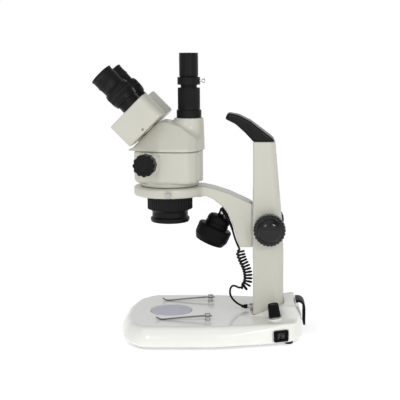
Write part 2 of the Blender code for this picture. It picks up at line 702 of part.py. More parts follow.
def build_cord():
    """The lamp's cord: a lead down the arm, the curly part and the tail to the jack."""
    lead = [(-38.1, LEAD_Y, 175.2), (-36.5, LEAD_Y, 172.2), (-34.8, -9.2, 168.0), (-32.7, -8.4, 163.4),
            (-31.2, -7.2, 159.6), (-28.9, -4.9, 151.0), (-26.7, -2.6, 142.4), (-24.4, -0.9, 135.5),
            (-21.9, 0, 129.8), (-20.4, 0, 126.6)]
    finish_part(tube(smooth_path(lead, 2), CORD_RADIUS), "lamp_cord_lead", CORD_BLACK, STAND)
    coil = [(-19.6, 0, 124.2), (-17.0, 0, 113), (-14.0, 0, 105.4), (-10.4, 0, 97.8), (-8.2, 0, 90.2),
            (-7.4, 0, 81.7), (-8.4, 0, 73.9), (-12.2, 0, 68.6), (-18.0, 0, 66.9)]
    finish_part(tube(smooth_path(coil, 2), COIL_RADIUS), "lamp_cord_coil", CORD_BLACK, STAND)
    tail = [(-18.4, 0, 66.8), (-20.8, 0, 66.9), (-25.2, 0, 68.2), (-29.8, 0, 69.4), (-33.2, 0, 65.4), (-33.6, 0, 58.0),
            (-30.8, 0, 51.0), (-25.0, 0, 44.6), (-17.6, 0, 40.2), (-12.0, 0, 38.7), (-8.7, 0, 38.5)]
    finish_part(tube(smooth_path(tail, 2), CORD_RADIUS), "lamp_cord_tail", CORD_BLACK, STAND)


# ------------------------------------------------------------------- head

def head_outline(front, grow=0.0, width=1.0):
    """Plan of the head: narrow front, flat flanks, narrow rear; width scales it across."""
    half = [(front, 25 * width, 9 * width), (-8, 45 * width, 10), (32, 43 * width, 10),
            (45, 29 * width, 9 * width)]
    return inset(rounded(mirrored_y(half)), -grow)


def build_lower_head():
    """The lower housing with its mounting collar, the objective and the zoom carriage."""
    levels = [(head_outline(-44.5, -3.5), 224.5), (head_outline(-47.5), 229.5),
              (head_outline(-47.5), SEAM_Z - GAP)]
    lower = loft(levels)
    finish_part(lower, "head_lower_housing", CREAM, HEAD)
    for radius, bottom, top in ((41.5, 219.6, 226.0), (38.0, 204.4, 220.0)):
        collar = cylinder(radius, top - bottom, 40)
        place(collar, HEAD, (0, 0, (top + bottom) / 2))
        join(lower, collar)
    strip = cylinder(19.5, SEAM_Z - GAP - 226.0, 28)
    place(strip, HEAD, (COLUMN_X, 0, (SEAM_Z - GAP + 226.0) / 2))
    join(lower, strip)
    for side, sign in SIDES:
        boss = cylinder(16.8, 17.5, 24)
        place(boss, HEAD, (ZOOM_X, sign * 38.75, ZOOM_Z), (90, 0, 0))
        join(lower, boss)
    hollow = loft([(head_outline(-47.5, -5.0), 231.0), (head_outline(-47.5, -5.0), SEAM_Z + 5)])
    place(hollow, HEAD)
    cut(lower, hollow)
    bore = cylinder(31.0, 60, 32)
    place(bore, HEAD, (0, 0, 203))
    cut(lower, bore)
    shaft_bore = cylinder(3.4, 120, 20)
    place(shaft_bore, HEAD, (ZOOM_X, 0, ZOOM_Z), (90, 0, 0))
    cut(lower, shaft_bore)

    barrel = turned([(30.6, 212), (30.6, 204.1), (32.5, 204.1), (32.5, 185), (28.4, 185), (25.7, 180.5),
                     (25.7, 174), (28.0, 171.5), (27.8, 167), (26.6, 166), (22.2, 166), (22.2, 200),
                     (26, 204), (26, 212)], 32, ring=True)
    finish_part(barrel, "objective_barrel", SATIN_BLACK, HEAD)
    lens = turned([(0, 177), (12, 176.2), (21.8, 174), (21.8, 171.2), (12, 169), (0, 168.2)], 28)
    finish_part(lens, "objective_lens", GLASS, HEAD)

    shaft = cylinder(3.0, 2 * 55, 16)
    finish_part(shaft, "zoom_shaft", STEEL, HEAD, (ZOOM_X, 0, ZOOM_Z), (90, 0, 0))
    for side, sign in SIDES:
        knob = slab([fluted_outline(15.8, 1.0, 12, 3)], 19)
        round_edges(knob, 0.9, 1, 60)
        finish_part(knob, f"zoom_knob_{side}", SATIN_BLACK, HEAD, (ZOOM_X, sign * (47.8 + 9.5), ZOOM_Z),
                    (90, 0, 0))
        bore = cylinder(3.3, 10, 20)
        place(bore, HEAD, (ZOOM_X, sign * 51.5, ZOOM_Z), (90, 0, 0))
        cut(knob, bore)

    carriage = slab([rounded([(-14, -27, 4), (20, -27, 4), (20, 27, 4), (-14, 27, 4)], 2),
                     circle_outline(9, 20)], 6)
    finish_part(carriage, "zoom_lens_carriage", ALUMINIUM, HEAD, (3, 0, 250))
    for sign in (-1, 1):
        cell = cylinder(11.2, 16, 20)
        place(cell, HEAD, (6, sign * 13.5, 250))
        join(carriage, cell)
        bore = cylinder(9.2, 30, 20)
        place(bore, HEAD, (6, sign * 13.5, 250))
        cut(carriage, bore)


def build_upper_head():
    """The upper housing: an inclined face for the prism boxes and a column for the camera tube."""
    seam = SEAM_Z + GAP
    plan = [(head_outline(-56.0, 0.3), seam), (head_outline(-56.0, 0.3), seam + 1.5),
            (head_outline(-54.0, -1.5), seam + 4), (head_outline(-54.0, -1.5, 0.45), 318.0)]
    upper = loft(plan)
    finish_part(upper, "head_upper_housing", CREAM, HEAD)
    rise = 323.0
    side_view = [(-58, seam - 2, 0), (-58, seam + 0.9, 0), (-51, rise - 51, 2), (-13, rise - 13, 6),
                 (4, 311.8, 16), (44, 286, 12), (50, seam - 2, 0)]
    profile = slab([rounded(side_view, 4)], 120)
    place(profile, HEAD, (0, 0, 0), (90, 0, 0))
    combine(upper, profile, "INTERSECT")
    column = turned([(0, COLUMN_TOP), (19.6, COLUMN_TOP), (20.6, COLUMN_TOP - 1), (21.2, 300), (21.4, seam + 1),
                     (0, seam + 1)], 32)
    place(column, HEAD, (COLUMN_X, 0, 0))
    join(upper, column)
    cavity = slab([[(-42, 268), (-42, 276), (-16, 300), (4, 300), (32, 282), (32, 268)]], 44)
    place(cavity, HEAD, (0, 0, 0), (90, 0, 0))
    cut(upper, cavity)
    for side, sign in SIDES:
        light_path = cylinder(9.0, 40, 20)
        place(light_path, HEAD, (HINGE_POINT[0], sign * HINGE_HALF_SPACING, HINGE_POINT[1]), (0, -45, 0))
        cut(upper, light_path)
    camera_path = cylinder(10.0, 60, 24)
    place(camera_path, HEAD, (COLUMN_X, 0, 298))
    cut(upper, camera_path)


def build_camera_tube():
    """The third tube: base tube, clamp ring with its thumb screw and the camera sleeve."""
    base_tube = turned([(11.7, 362.4), (11.7, 358.4), (15.8, 358.4), (15.8, 327.5), (17.7, 326.4),
                        (17.7, COLUMN_TOP + GAP), (9.6, COLUMN_TOP + GAP), (9.6, 362.4)], 28, ring=True)
    finish_part(base_tube, "camera_base_tube", SATIN_BLACK, HEAD, (COLUMN_X, 0, 0))
    clamp = turned([(16.2, 373.4), (16.2, 362.7), (9.6, 362.7), (9.6, 373.4)], 28, ring=True)
    finish_part(clamp, "camera_clamp_ring", SATIN_BLACK, HEAD, (COLUMN_X, 0, 0))
    hole = cylinder(1.6, 10, 12)
    place(hole, HEAD, (COLUMN_X + 15.6, 0, 368), (0, 90, 0))
    cut(clamp, hole)
    sleeve = turned([(13.5, 407.3), (13.5, 376), (13.0, 373.7), (11.6, 373.7), (11.6, 407.3)],
                    28, ring=True)
    finish_part(sleeve, "camera_sleeve", SATIN_BLACK, HEAD, (COLUMN_X, 0, 0))
    screw = turned([(0, 23.5), (3.2, 23.2), (3.2, 19.3), (1.3, 19.3), (1.3, 11.5), (0, 11.5)], 12)
    finish_part(screw, "camera_clamp_screw", CHROME, HEAD, (COLUMN_X, 0, 368), (0, 90, 0))


def box_outline(sign, distance=0.0):
    """Plan of a prism box seen along its tube: x up the slope, y outwards."""
    corners = [(-31, 2, 8), (0, -13.0, 12), (30, 1, 12), (36.5, 16, 12), (32, 36.5, 16), (-31, 36.5, 4)]
    return inset(rounded([(x, sign * y, radius) for x, y, radius in corners]), distance)


def build_eyepieces():
    """Two prism boxes on the inclined face, each with its tube, dioptre ring and eyepiece."""
    for side, sign in SIDES:
        at = (HINGE_POINT[0], sign * HINGE_HALF_SPACING, HINGE_POINT[1])
        eye = add_frame(f"eye_frame_{side}", HEAD, at, (0, -45, 0))
        tube_x, tube_y = EYE_OFFSET[0], sign * EYE_OFFSET[1]

        prism_box = slab([box_outline(sign)], BOX_THICKNESS)
        round_edges(prism_box, 2.2, 1, 60)
        finish_part(prism_box, f"prism_box_{side}", CREAM, eye, (0, 0, BOX_THICKNESS / 2))
        turntable = cylinder(12.6, 4, 24)
        place(turntable, eye, (0, 0, 0.6))
        join(prism_box, turntable)
        cavity = slab([box_outline(sign, 4.0)], BOX_THICKNESS - 10)
        place(cavity, eye, (0, 0, BOX_THICKNESS / 2))
        cut(prism_box, cavity)
        for x, y, radius, low, high in ((0, 0, 9.0, -5, 8), (tube_x, tube_y, 13.0, 30, 45)):
            bore = cylinder(radius, high - low, 24)
            place(bore, eye, (x, y, (high + low) / 2))
            cut(prism_box, bore)
        face = BOX_THICKNESS
        at_tube = (tube_x, tube_y, face)
        sleeve = turned([(15.6, 10.6), (15.6, GAP), (12.7, GAP), (12.7, -8.2), (11.0, -8.2), (11.0, 10.6)],
                        24, ring=True)
        finish_part(sleeve, f"eye_tube_{side}", SATIN_BLACK, eye, at_tube)
        ring = turned([(17.2, 34.4), (19.2, 30), (18.7, 17), (17.2, 10.9), (13.0, 10.9), (13.0, 34.4)],
                      24, ring=True)
        finish_part(ring, f"dioptre_ring_{side}", SATIN_BLACK, eye, at_tube)
        eyepiece = turned([(17.3, 62.4), (16.5, 46), (16.0, 34.7), (12.6, 34.7), (12.6, 11.2), (11.0, 11.2),
                           (11.0, 52), (15.8, 62.4)], 24, ring=True)
        finish_part(eyepiece, f"eyepiece_{side}", RUBBER, eye, at_tube)
        lens = turned([(0, 51.6), (10.7, 50), (10.7, 46), (0, 46)], 20)
        finish_part(lens, f"eye_lens_{side}", GLASS, eye, at_tube)


# ------------------------------------------------------------------- main

clear_scene()
PARTS = new_collection("stereo_microscope")
CUTTERS = new_collection("cutters")
STAND = add_frame("stand_frame", None, (PILLAR_X, 0, 0))
HEAD = add_frame("head_frame", None, (PILLAR_X - OPTIC_TO_PILLAR, 0, 0), (0, 0, HEAD_TURN))

build_base()
build_base_fittings()
build_clips()
build_pillar()
build_focus()
build_arm()
build_lamp()
build_cord()
build_lower_head()
build_upper_head()
build_camera_tube()
build_eyepieces()
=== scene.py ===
"""Looks of a trinocular zoom stereo microscope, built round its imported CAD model.

Shapes are worked out in millimetres and written to meshes in metres.  The working
frames are those of the CAD: the stand (x from the pillar's front face), the head
(on the optical axis, turned in its ring), one for each eyepiece and one for the
lamp.  Castings are the zero surface of a distance field; turned parts are a
profile carried round an axis; clips and the cord are a section carried along a path.
"""
from __future__ import annotations

import json
import logging
import math
from dataclasses import dataclass, field
from enum import Enum
from typing import Callable, Sequence

import bmesh
import bpy
import numpy as np
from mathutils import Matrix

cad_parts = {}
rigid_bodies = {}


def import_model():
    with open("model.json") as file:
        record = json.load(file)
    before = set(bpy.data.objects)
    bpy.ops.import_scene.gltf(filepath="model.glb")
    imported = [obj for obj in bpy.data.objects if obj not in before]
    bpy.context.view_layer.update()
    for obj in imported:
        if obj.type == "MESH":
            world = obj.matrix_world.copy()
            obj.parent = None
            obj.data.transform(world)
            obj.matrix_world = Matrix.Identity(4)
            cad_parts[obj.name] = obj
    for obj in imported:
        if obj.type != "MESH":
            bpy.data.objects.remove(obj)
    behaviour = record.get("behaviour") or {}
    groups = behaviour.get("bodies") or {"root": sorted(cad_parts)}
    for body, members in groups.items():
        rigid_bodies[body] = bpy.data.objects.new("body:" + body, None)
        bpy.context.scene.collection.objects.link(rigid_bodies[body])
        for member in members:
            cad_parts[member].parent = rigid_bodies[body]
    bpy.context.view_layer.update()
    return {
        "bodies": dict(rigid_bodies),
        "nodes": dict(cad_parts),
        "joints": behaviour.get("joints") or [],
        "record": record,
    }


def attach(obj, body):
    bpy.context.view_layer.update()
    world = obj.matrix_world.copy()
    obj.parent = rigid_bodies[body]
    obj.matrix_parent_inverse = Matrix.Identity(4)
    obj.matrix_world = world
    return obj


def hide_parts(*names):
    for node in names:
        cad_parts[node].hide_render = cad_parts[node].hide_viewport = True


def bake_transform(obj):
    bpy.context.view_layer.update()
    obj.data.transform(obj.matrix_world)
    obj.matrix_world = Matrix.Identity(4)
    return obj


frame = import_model()

MM = 0.001
WELD = 2e-6          # metres: points closer than this become one
SIDE_SHARE = 0.48    # the most of a side that the rounding of its corner takes
OVERRUN = 0.08       # how far a rounding's two outer points run on along the sides
FLUTED_SHARE = 0.6   # flutes cut only where the radius is above this share of the largest
FLUTE_STEP = 0.5     # millimetres: the longest piece of a fluted profile

Array = np.ndarray
Row = tuple[float, ...]
Rows = tuple[Row, ...]
Section = Callable[[Array], tuple[Array, Array]]
LOG = logging.getLogger("microscope")


class Side(Enum):
    """The two sides of the microscope, with the sign of y on each."""

    NEAR = -1
    FAR = 1

    @property
    def word(self) -> str:
        """The side's name in lower case, as the nodes' names end."""
        return self.name.lower()


# ------------------------------------------------------------------ places

def turn(axis: str, degrees: float) -> Array:
    """A rotation about x, y or z: the other two axes turn by the angle.

    Args:
        axis: the letter of the axis.
        degrees: the angle, anticlockwise seen from its positive end.

    Returns:
        The three by three matrix.
    """
    a, b = {"x": (1, 2), "y": (2, 0), "z": (0, 1)}[axis]
    cosine, sine = math.cos(math.radians(degrees)), math.sin(math.radians(degrees))
    matrix = np.eye(3)
    matrix[a, a] = matrix[b, b] = cosine
    matrix[b, a], matrix[a, b] = sine, -sine
    return matrix


@dataclass(frozen=True)
class Place:
    """A frame: where its origin is and how it is turned, in millimetres."""

    at: tuple[float, float, float] = (0.0, 0.0, 0.0)
    spin: Array = field(default_factory=lambda: np.eye(3))

    def move(self, points: Array) -> Array:
        """Points of this frame in the frame that it stands in: turned, then shifted."""
        return points @ self.spin.T + np.array(self.at)

    def inner(self, at: Sequence[float], spin: Array | None = None) -> Place:
        """A frame given inside this one."""
        own = np.eye(3) if spin is None else spin
        return Place(tuple(self.move(np.array(at, float))), self.spin @ own)


STAND = Place((73.4, 0.0, 0.0))
HEAD = Place((-46.6, 0.0, 0.0), turn("z", -4.5))
OUTWARD = {Side.NEAR: turn("x", 90), Side.FAR: turn("x", -90)}


# ------------------------------------------------------------ flat outlines

def softened(corners: Array, radii: Array, steps: int = 6, closed: bool = True) -> Array:
    """An outline with its corners rounded.

    Each corner c with neighbours p and n becomes the curve
    (1-t)^2 a + 2t(1-t) c + t^2 b, where a and b lie on its two sides at the distance
    radius / tan(half the corner's angle), at most SIDE_SHARE of the side.  One more
    point runs on along each side, which keeps the shading beside the corner flat.

    Args:
        corners: the corner points, one row each.
        radii: the rounding radius of each corner.
        steps: how many pieces each rounding has.
        closed: whether the outline joins up; an open one keeps its ends.

    Returns:
        The points of the rounded outline.
    """
    corners = np.asarray(corners, float)
    before, after = np.roll(corners, 1, axis=0) - corners, np.roll(corners, -1, axis=0) - corners
    long_a, long_b = np.linalg.norm(before, axis=1), np.linalg.norm(after, axis=1)
    before, after = before / long_a[:, None], after / long_b[:, None]
    half = np.arccos(np.clip((before * after).sum(1), -0.9999, 0.9999)) / 2
    reach = np.minimum(np.asarray(radii, float) / np.tan(half), SIDE_SHARE * np.minimum(long_a, long_b))
    if not closed:
        reach[[0, -1]] = 0.0
    start, end = corners + before * reach[:, None], corners + after * reach[:, None]
    t = np.concatenate([[-OVERRUN], np.linspace(0, 1, steps + 1), [1 + OVERRUN]])[None, :, None]
    inner = np.clip(t, 0, 1)
    curve = (1 - inner) ** 2 * start[:, None] + 2 * inner * (1 - inner) * corners[:, None]
    curve = curve + inner ** 2 * end[:, None]
    spare = np.maximum(t - 1, 0) * (after * reach[:, None])[:, None]
    curve = curve + spare + np.maximum(-t, 0) * (before * reach[:, None])[:, None]
    if closed:
        return curve.reshape(-1, corners.shape[1])
    return np.concatenate([corners[:1], curve[1:-1].reshape(-1, corners.shape[1]), corners[-1:]])


def mirrored(half: Rows) -> Array:
    """A half outline of (x, y, radius) rows completed across y = 0."""
    return np.array([*half, *((x, -y, radius) for x, y, radius in reversed(half))], float)


def spaced(profile: Array, step: float) -> Array:
    """A line with points added so that none of its pieces is longer than the step.

    Args:
        profile: the line's points, one row each.
        step: the longest piece allowed.

    Returns:
        The line's points, the new ones among them.
    """
    lengths = np.linalg.norm(np.diff(profile, axis=0), axis=1)
    counts = np.maximum(1, np.ceil(lengths / step)).astype(int)
    starts = np.repeat(np.arange(len(counts)), counts)
    part = (np.arange(len(starts)) - np.repeat(np.cumsum(counts) - counts, counts)) / counts[starts]
    inner = profile[starts] + (profile[starts + 1] - profile[starts]) * part[:, None]
    return np.concatenate([inner, profile[-1:]])


def wave(points: Array, count: int) -> Array:
    """A smooth line through points (Catmull-Rom), with count pieces between each two.

    Args:
        points: the points that the line passes through.
        count: how many pieces lie between each two.

    Returns:
        The line's points.
    """
    points = np.asarray(points, float)
    ends = np.concatenate([[2 * points[0] - points[1]], points, [2 * points[-1] - points[-2]]])
    a, b, c, d = (ends[k:len(ends) - 3 + k, None] for k in range(4))
    t = (np.arange(count) / count)[None, :, None]
    line = 0.5 * (2 * b + (c - a) * t + (2 * a - 5 * b + 4 * c - d) * t ** 2
                  + (3 * b - a - 3 * c + d) * t ** 3)
    return np.concatenate([line.reshape(-1, points.shape[1]), points[-1:]])


# ------------------------------------------------------------ mesh making

@dataclass
class Skin:
    """Points in millimetres and four-cornered faces, before they become an object."""

    points: Array
    faces: Array

    def placed(self, place: Place) -> Skin:
        """The same skin moved from a frame to the object's frame."""
        return Skin(place.move(self.points), self.faces)

    def __add__(self, other: Skin) -> Skin:
        """Two skins in one mesh."""
        return Skin(np.concatenate([self.points, other.points]),
                    np.concatenate([self.faces, other.faces + len(self.points)]))


def grid_skin(points: Array, along: bool = False) -> Skin:
    """A skin over a grid of points (rows, columns, 3) whose last column joins the first.

    Args:
        points: the grid, one row for each step of the profile or path.
        along: whether the last row joins the first too.

    Returns:
        The skin, with one face between each two rows and columns.
    """
    rows, columns = points.shape[:2]
    index = np.arange(rows * columns).reshape(rows, columns)
    index = np.concatenate([index, index[:, :1]], axis=1)
    if along:
        index = np.concatenate([index, index[:1]], axis=0)
    faces = np.stack([index[:-1, :-1], index[1:, :-1], index[1:, 1:], index[:-1, 1:]], axis=-1)
    return Skin(points.reshape(-1, 3), faces.reshape(-1, 4))


def put(name: str, data: bpy.types.ID) -> bpy.types.Object:
    """An object for some data, linked to the scene.

    Args:
        name: the object's name.
        data: its mesh, light or camera.

    Returns:
        The object.
    """
    obj = bpy.data.objects.new(name, data)
    bpy.context.scene.collection.objects.link(obj)
    return obj


def make_object(name: str, skin: Skin) -> bpy.types.Object:
    """A smooth-shaded object from a skin: welded at poles and seams, faces outward.

    Args:
        name: the object's name.
        skin: its skin, in millimetres.

    Returns:
        The object.
    """
    mesh = bpy.data.meshes.new(name)
    mesh.vertices.add(len(skin.points))
    mesh.vertices.foreach_set("co", (skin.points * MM).astype(np.float32).ravel())
    mesh.loops.add(skin.faces.size)
    mesh.loops.foreach_set("vertex_index", skin.faces.astype(np.int32).ravel())
    mesh.polygons.add(len(skin.faces))
    mesh.polygons.foreach_set("loop_start", np.arange(0, skin.faces.size, 4, dtype=np.int32))
    mesh.update(calc_edges=True)
    bm = bmesh.new()
    bm.from_mesh(mesh)
    bmesh.ops.remove_doubles(bm, verts=bm.verts, dist=WELD)
    bmesh.ops.recalc_face_normals(bm, faces=bm.faces)
    bm.to_mesh(mesh)
    bm.free()
    mesh.shade_smooth()
    return put(name, mesh)


@dataclass(frozen=True)
class Flutes:
    """Grooves round a turned part between two heights.

    The radius loses depth * ((1 - cos(count * angle)) / 2) ** shape, faded in and out
    over fade millimetres at both ends.
    """

    count: int
    depth: float
    low: float
    high: float
    shape: float = 1.0
    fade: float = 0.4

    def depth_at(self, height: Array, angle: Array) -> Array:
        """How much of the radius is cut away at a height and angle.

        Args:
            height: the heights.
            angle: the angles round the axis.

        Returns:
            The depths, in millimetres.
        """
        groove = ((1 - np.cos(self.count * angle)) / 2) ** self.shape
        inside = np.clip((height - self.low) / self.fade, 0, 1) * np.clip((self.high - height) / self.fade, 0, 1)
        return self.depth * groove * inside


def turned(profile: Sequence[tuple[float, float]], soft: float | Sequence[float] = 0.5, steps: int = 96,
           ring: bool = False, flutes: Sequence[Flutes] = (), step: float = 3.0) -> Skin:
    """A profile carried round the z axis: x = r cos a, y = r sin a, z = height.

    Args:
        profile: (radius, height) points, from the axis out and round, or a closed ring.
        soft: the rounding radius of its corners, one for all or one each.
        steps: how many columns go round.
        ring: whether the profile closes on itself.
        flutes: grooves that the radius is cut by.
        step: the longest piece of the profile between two rows.

    Returns:
        The turned skin.
    """
    corners = np.array(profile, float)
    line = softened(corners, np.broadcast_to(np.asarray(soft, float), (len(corners),)), 5, ring)
    if ring:
        line = np.concatenate([line, line[:1]])
    if flutes:
        step = min(step, FLUTE_STEP)
    line = spaced(line, step)
    if ring:
        line = line[:-1]
    angle = np.linspace(0, 2 * np.pi, steps, endpoint=False)[None, :]
    radius, height = line[:, :1] + 0 * angle, line[:, 1:] + 0 * angle
    outer = radius > FLUTED_SHARE * corners[:, 0].max()
    for groove in flutes:
        radius = radius - groove.depth_at(height, angle) * outer
    return grid_skin(np.stack([radius * np.cos(angle), radius * np.sin(angle), height], axis=-1), along=ring)


def plate(outline: Array, low: float, high: float, edge: float = 0.5) -> Skin:
    """A flat piece: a convex outline carried up z, drawn in at both edges and closed at its middle.

    Args:
        outline: its corners, one row each.
        low: the height of its underside.
        high: the height of its top.
        edge: how far both edges are rounded.

    Returns:
        The skin.
    """
    centre = outline.mean(axis=0)
    span = np.linalg.norm(outline - centre, axis=1).min()
    arc = np.linspace(0, np.pi / 2, 5)
    draw, rise = edge * (1 - np.sin(arc)), edge * (1 - np.cos(arc))
    flat_from = 1.3 * edge
    heights = np.concatenate([[low, low], low + rise, high - rise[::-1], [high, high]])
    share = np.concatenate([[1.0, flat_from / span], draw / span, draw[::-1] / span, [flat_from / span, 1.0]])
    flat = outline[None] + (centre - outline)[None] * share[:, None, None]
    tall = np.broadcast_to(heights[:, None, None], (*flat.shape[:2], 1))
    return grid_skin(np.concatenate([flat, tall], axis=-1))


def round_section(radius: Array | float) -> Section:
    """A round section for a sweep: radius * cos and radius * sin."""
    return lambda angle: (radius * np.cos(angle)[None], radius * np.sin(angle)[None])


def flat_section(half: Array | float, thick: float, powers: tuple[float, float]) -> Section:
    """A flat section with round edges for a sweep: powers of the cosine and the sine, signs kept.

    Args:
        half: half the section's width, one for all or one for each point of the path.
        thick: half its thickness.
        powers: the power of the cosine and that of the sine; less is squarer.

    Returns:
        The section, as a function of the angle round it.
    """
    def section(angle: Array) -> tuple[Array, Array]:
        """The section's two coordinates at an angle."""
        cosine, sine = np.cos(angle)[None], np.sin(angle)[None]
        return (half * np.sign(cosine) * np.abs(cosine) ** powers[0],
                thick * np.sign(sine) * np.abs(sine) ** powers[1])

    return section


def swept(path: Array, across: Array, section: Section, steps: int = 24) -> Skin:
    """A section carried along a path and closed at both ends.

    At each point the section stands square to the path, in the plane of the across
    direction and the path's other normal; section(angle) gives its two coordinates.

    Args:
        path: the path's points, one row each.
        across: the direction of the first coordinate at each point.
        section: gives the two coordinates at an angle.
        steps: how many columns go round.

    Returns:
        The skin.
    """
    along = np.gradient(path, axis=0)
    along /= np.linalg.norm(along, axis=1, keepdims=True)
    across = across - along * (across * along).sum(1, keepdims=True)
    across /= np.linalg.norm(across, axis=1, keepdims=True)
    other = np.cross(along, across)
    angle = np.linspace(0, 2 * np.pi, steps, endpoint=False)
    u, v = section(angle)
    rings = path[:, None] + u[..., None] * across[:, None] + v[..., None] * other[:, None]
    ends = np.repeat(path[[0, -1], None], steps, axis=1)
    return grid_skin(np.concatenate([ends[:1], rings, ends[1:]]))


# ------------------------------------------------------- distance fields

def smooth_max(a: Array, b: Array, blend: float) -> Array:
    """The larger of two fields, with the crease rounded over the blend distance."""
    share = np.clip(0.5 + 0.5 * (a - b) / blend, 0, 1)
    return b + (a - b) * share + blend * share * (1 - share)


def smooth_min(a: Array, b: Array, blend: float) -> Array:
    """The smaller of two fields, with a fillet of about the blend distance."""
    return -smooth_max(-a, -b, blend)


def outline_distance(outline: Array, x: Array, y: Array) -> Array:
    """How far each point is outside a closed outline, less than zero inside.

    For every side of the outline: the distance to the side's nearest point; the sign
    flips each time a line to the right crosses a side.

    Args:
        outline: its points, one row each.
        x: the first coordinate of the points asked about.
        y: their second coordinate.

    Returns:
        The distances.
    """
    x, y = np.broadcast_arrays(x, y)
    best, inside = np.full(x.shape, np.inf), np.zeros(x.shape, bool)
    for (ax, ay), (bx, by) in zip(outline, np.roll(outline, -1, axis=0)):
        ex, ey = bx - ax, by - ay
        length = ex * ex + ey * ey
        if length < 1e-12:
            continue
        t = np.clip(((x - ax) * ex + (y - ay) * ey) / length, 0, 1)
        best = np.minimum(best, np.hypot(x - ax - t * ex, y - ay - t * ey))
        if ay != by:
            inside ^= ((ay > y) != (by > y)) & (x < ex * (y - ay) / ey + ax)
    return np.where(inside, -best, best)


def outline_field(rows: Rows | Array, u: Array, v: Array, steps: int = 6) -> Array:
    """How far a point is outside an outline of (u, v, radius) rows, its corners rounded."""
    rows = np.asarray(rows, float)
    return outline_distance(softened(rows[:, :2], rows[:, 2], steps), u, v)


def crate(u: Array, v: Array, w: Array, half: Sequence[float]) -> Array:
    """How far a point is outside a plain box about the origin: its farthest overstep."""
    return np.maximum(np.maximum(np.abs(u) - half[0], np.abs(v) - half[1]), np.abs(w) - half[2])


def rounded_box(x: Array, y: Array, half_x: Array | float, half_y: Array | float, radius: Array | float) -> Array:
    """Distance from a rectangle with rounded corners: that of the smaller one, less the radius."""
    qx, qy = np.abs(x) - half_x + radius, np.abs(y) - half_y + radius
    return np.hypot(np.maximum(qx, 0), np.maximum(qy, 0)) + np.minimum(np.maximum(qx, qy), 0) - radius


@dataclass(frozen=True)
class Block:
    """The box of sample points that a casting's surface is found in, in millimetres."""

    low: tuple[float, float, float]
    high: tuple[float, float, float]
    pitch: float

    def axes(self) -> tuple[Array, Array, Array]:
        """The sample points' coordinates, as three arrays that broadcast.

        Returns:
            The x, y and z of the sample points.
        """
        x, y, z = (np.arange(a - 2 * self.pitch, b + 2.5 * self.pitch, self.pitch)
                   for a, b in zip(self.low, self.high))
        return x[:, None, None], y[None, :, None], z[None, None, :]

    def skin(self, value: Array) -> Skin:
        """The zero surface of a field.

        Each cell that the surface passes through gets one point, the mean of where the
        field is zero along the cell's edges; each edge that the surface crosses gets
        the face between the four cells around it.

        Args:
            value: the field at the sample points, less than zero inside.

        Returns:
            The skin.
        """
        inside = value < 0
        cells = tuple(n - 1 for n in value.shape)
        mixed = np.zeros(cells, np.int8)
        for corner in np.ndindex(2, 2, 2):
            mixed += inside[tuple(slice(c, c + n) for c, n in zip(corner, cells))]
        held = (mixed > 0) & (mixed < 8)
        at = np.argwhere(held)
        number = np.full(cells, -1)
        number[held] = np.arange(len(at))
        total, count = np.zeros((len(at), 3)), np.zeros((len(at), 1))
        for axis in range(3):
            step = np.eye(3, dtype=int)[axis]
            for other in np.ndindex(2, 2):
                corner = np.insert(np.array(other), axis, 0)
                first, second = value[tuple((at + corner).T)], value[tuple((at + corner + step).T)]
                crosses = (first < 0) != (second < 0)
                part = np.where(crosses, first / np.where(crosses, first - second, 1.0), 0.0)
                total += np.where(crosses[:, None], corner + part[:, None] * step, 0.0)
                count += crosses[:, None]
        start = np.array(self.low) - 2 * self.pitch
        points = start + (at + total / np.maximum(count, 1)) * self.pitch
        faces = []
        for axis in range(3):
            b, c = [k for k in range(3) if k != axis]
            first = np.moveaxis(inside, (axis, b, c), (0, 1, 2))
            crossed = first[:-1] != first[1:]
            crossed[:, [0, -1], :] = False
            crossed[:, :, [0, -1]] = False
            i, j, k = np.nonzero(crossed)
            out = first[i, j, k]
            cell = np.moveaxis(number, (axis, b, c), (0, 1, 2))
            quad = np.stack([cell[i, j - 1, k - 1], cell[i, j, k - 1], cell[i, j, k], cell[i, j - 1, k]], axis=1)
            forward = out if axis != 1 else ~out
            faces.append(np.where(forward[:, None], quad, quad[:, ::-1]))
        return Skin(points, np.concatenate(faces))


# ---------------------------------------------------------- shader maths

class Value:
    """One socket of a material's nodes; an expression on it adds Math nodes."""

    def __init__(self, graph: Graph, socket: bpy.types.NodeSocket) -> None:
        """Keep the graph, so that an operator can add to it."""
        self.graph, self.socket = graph, socket

    def __add__(self, other: Value | float) -> Value:
        """The sum."""
        return self.graph.math("ADD", self, other)

    def __sub__(self, other: Value | float) -> Value:
        """The difference."""
        return self.graph.math("SUBTRACT", self, other)

    def __rsub__(self, other: float) -> Value:
        """The difference from a number."""
        return self.graph.math("SUBTRACT", other, self)

    def __mul__(self, other: Value | float) -> Value:
        """The product."""
        return self.graph.math("MULTIPLY", self, other)


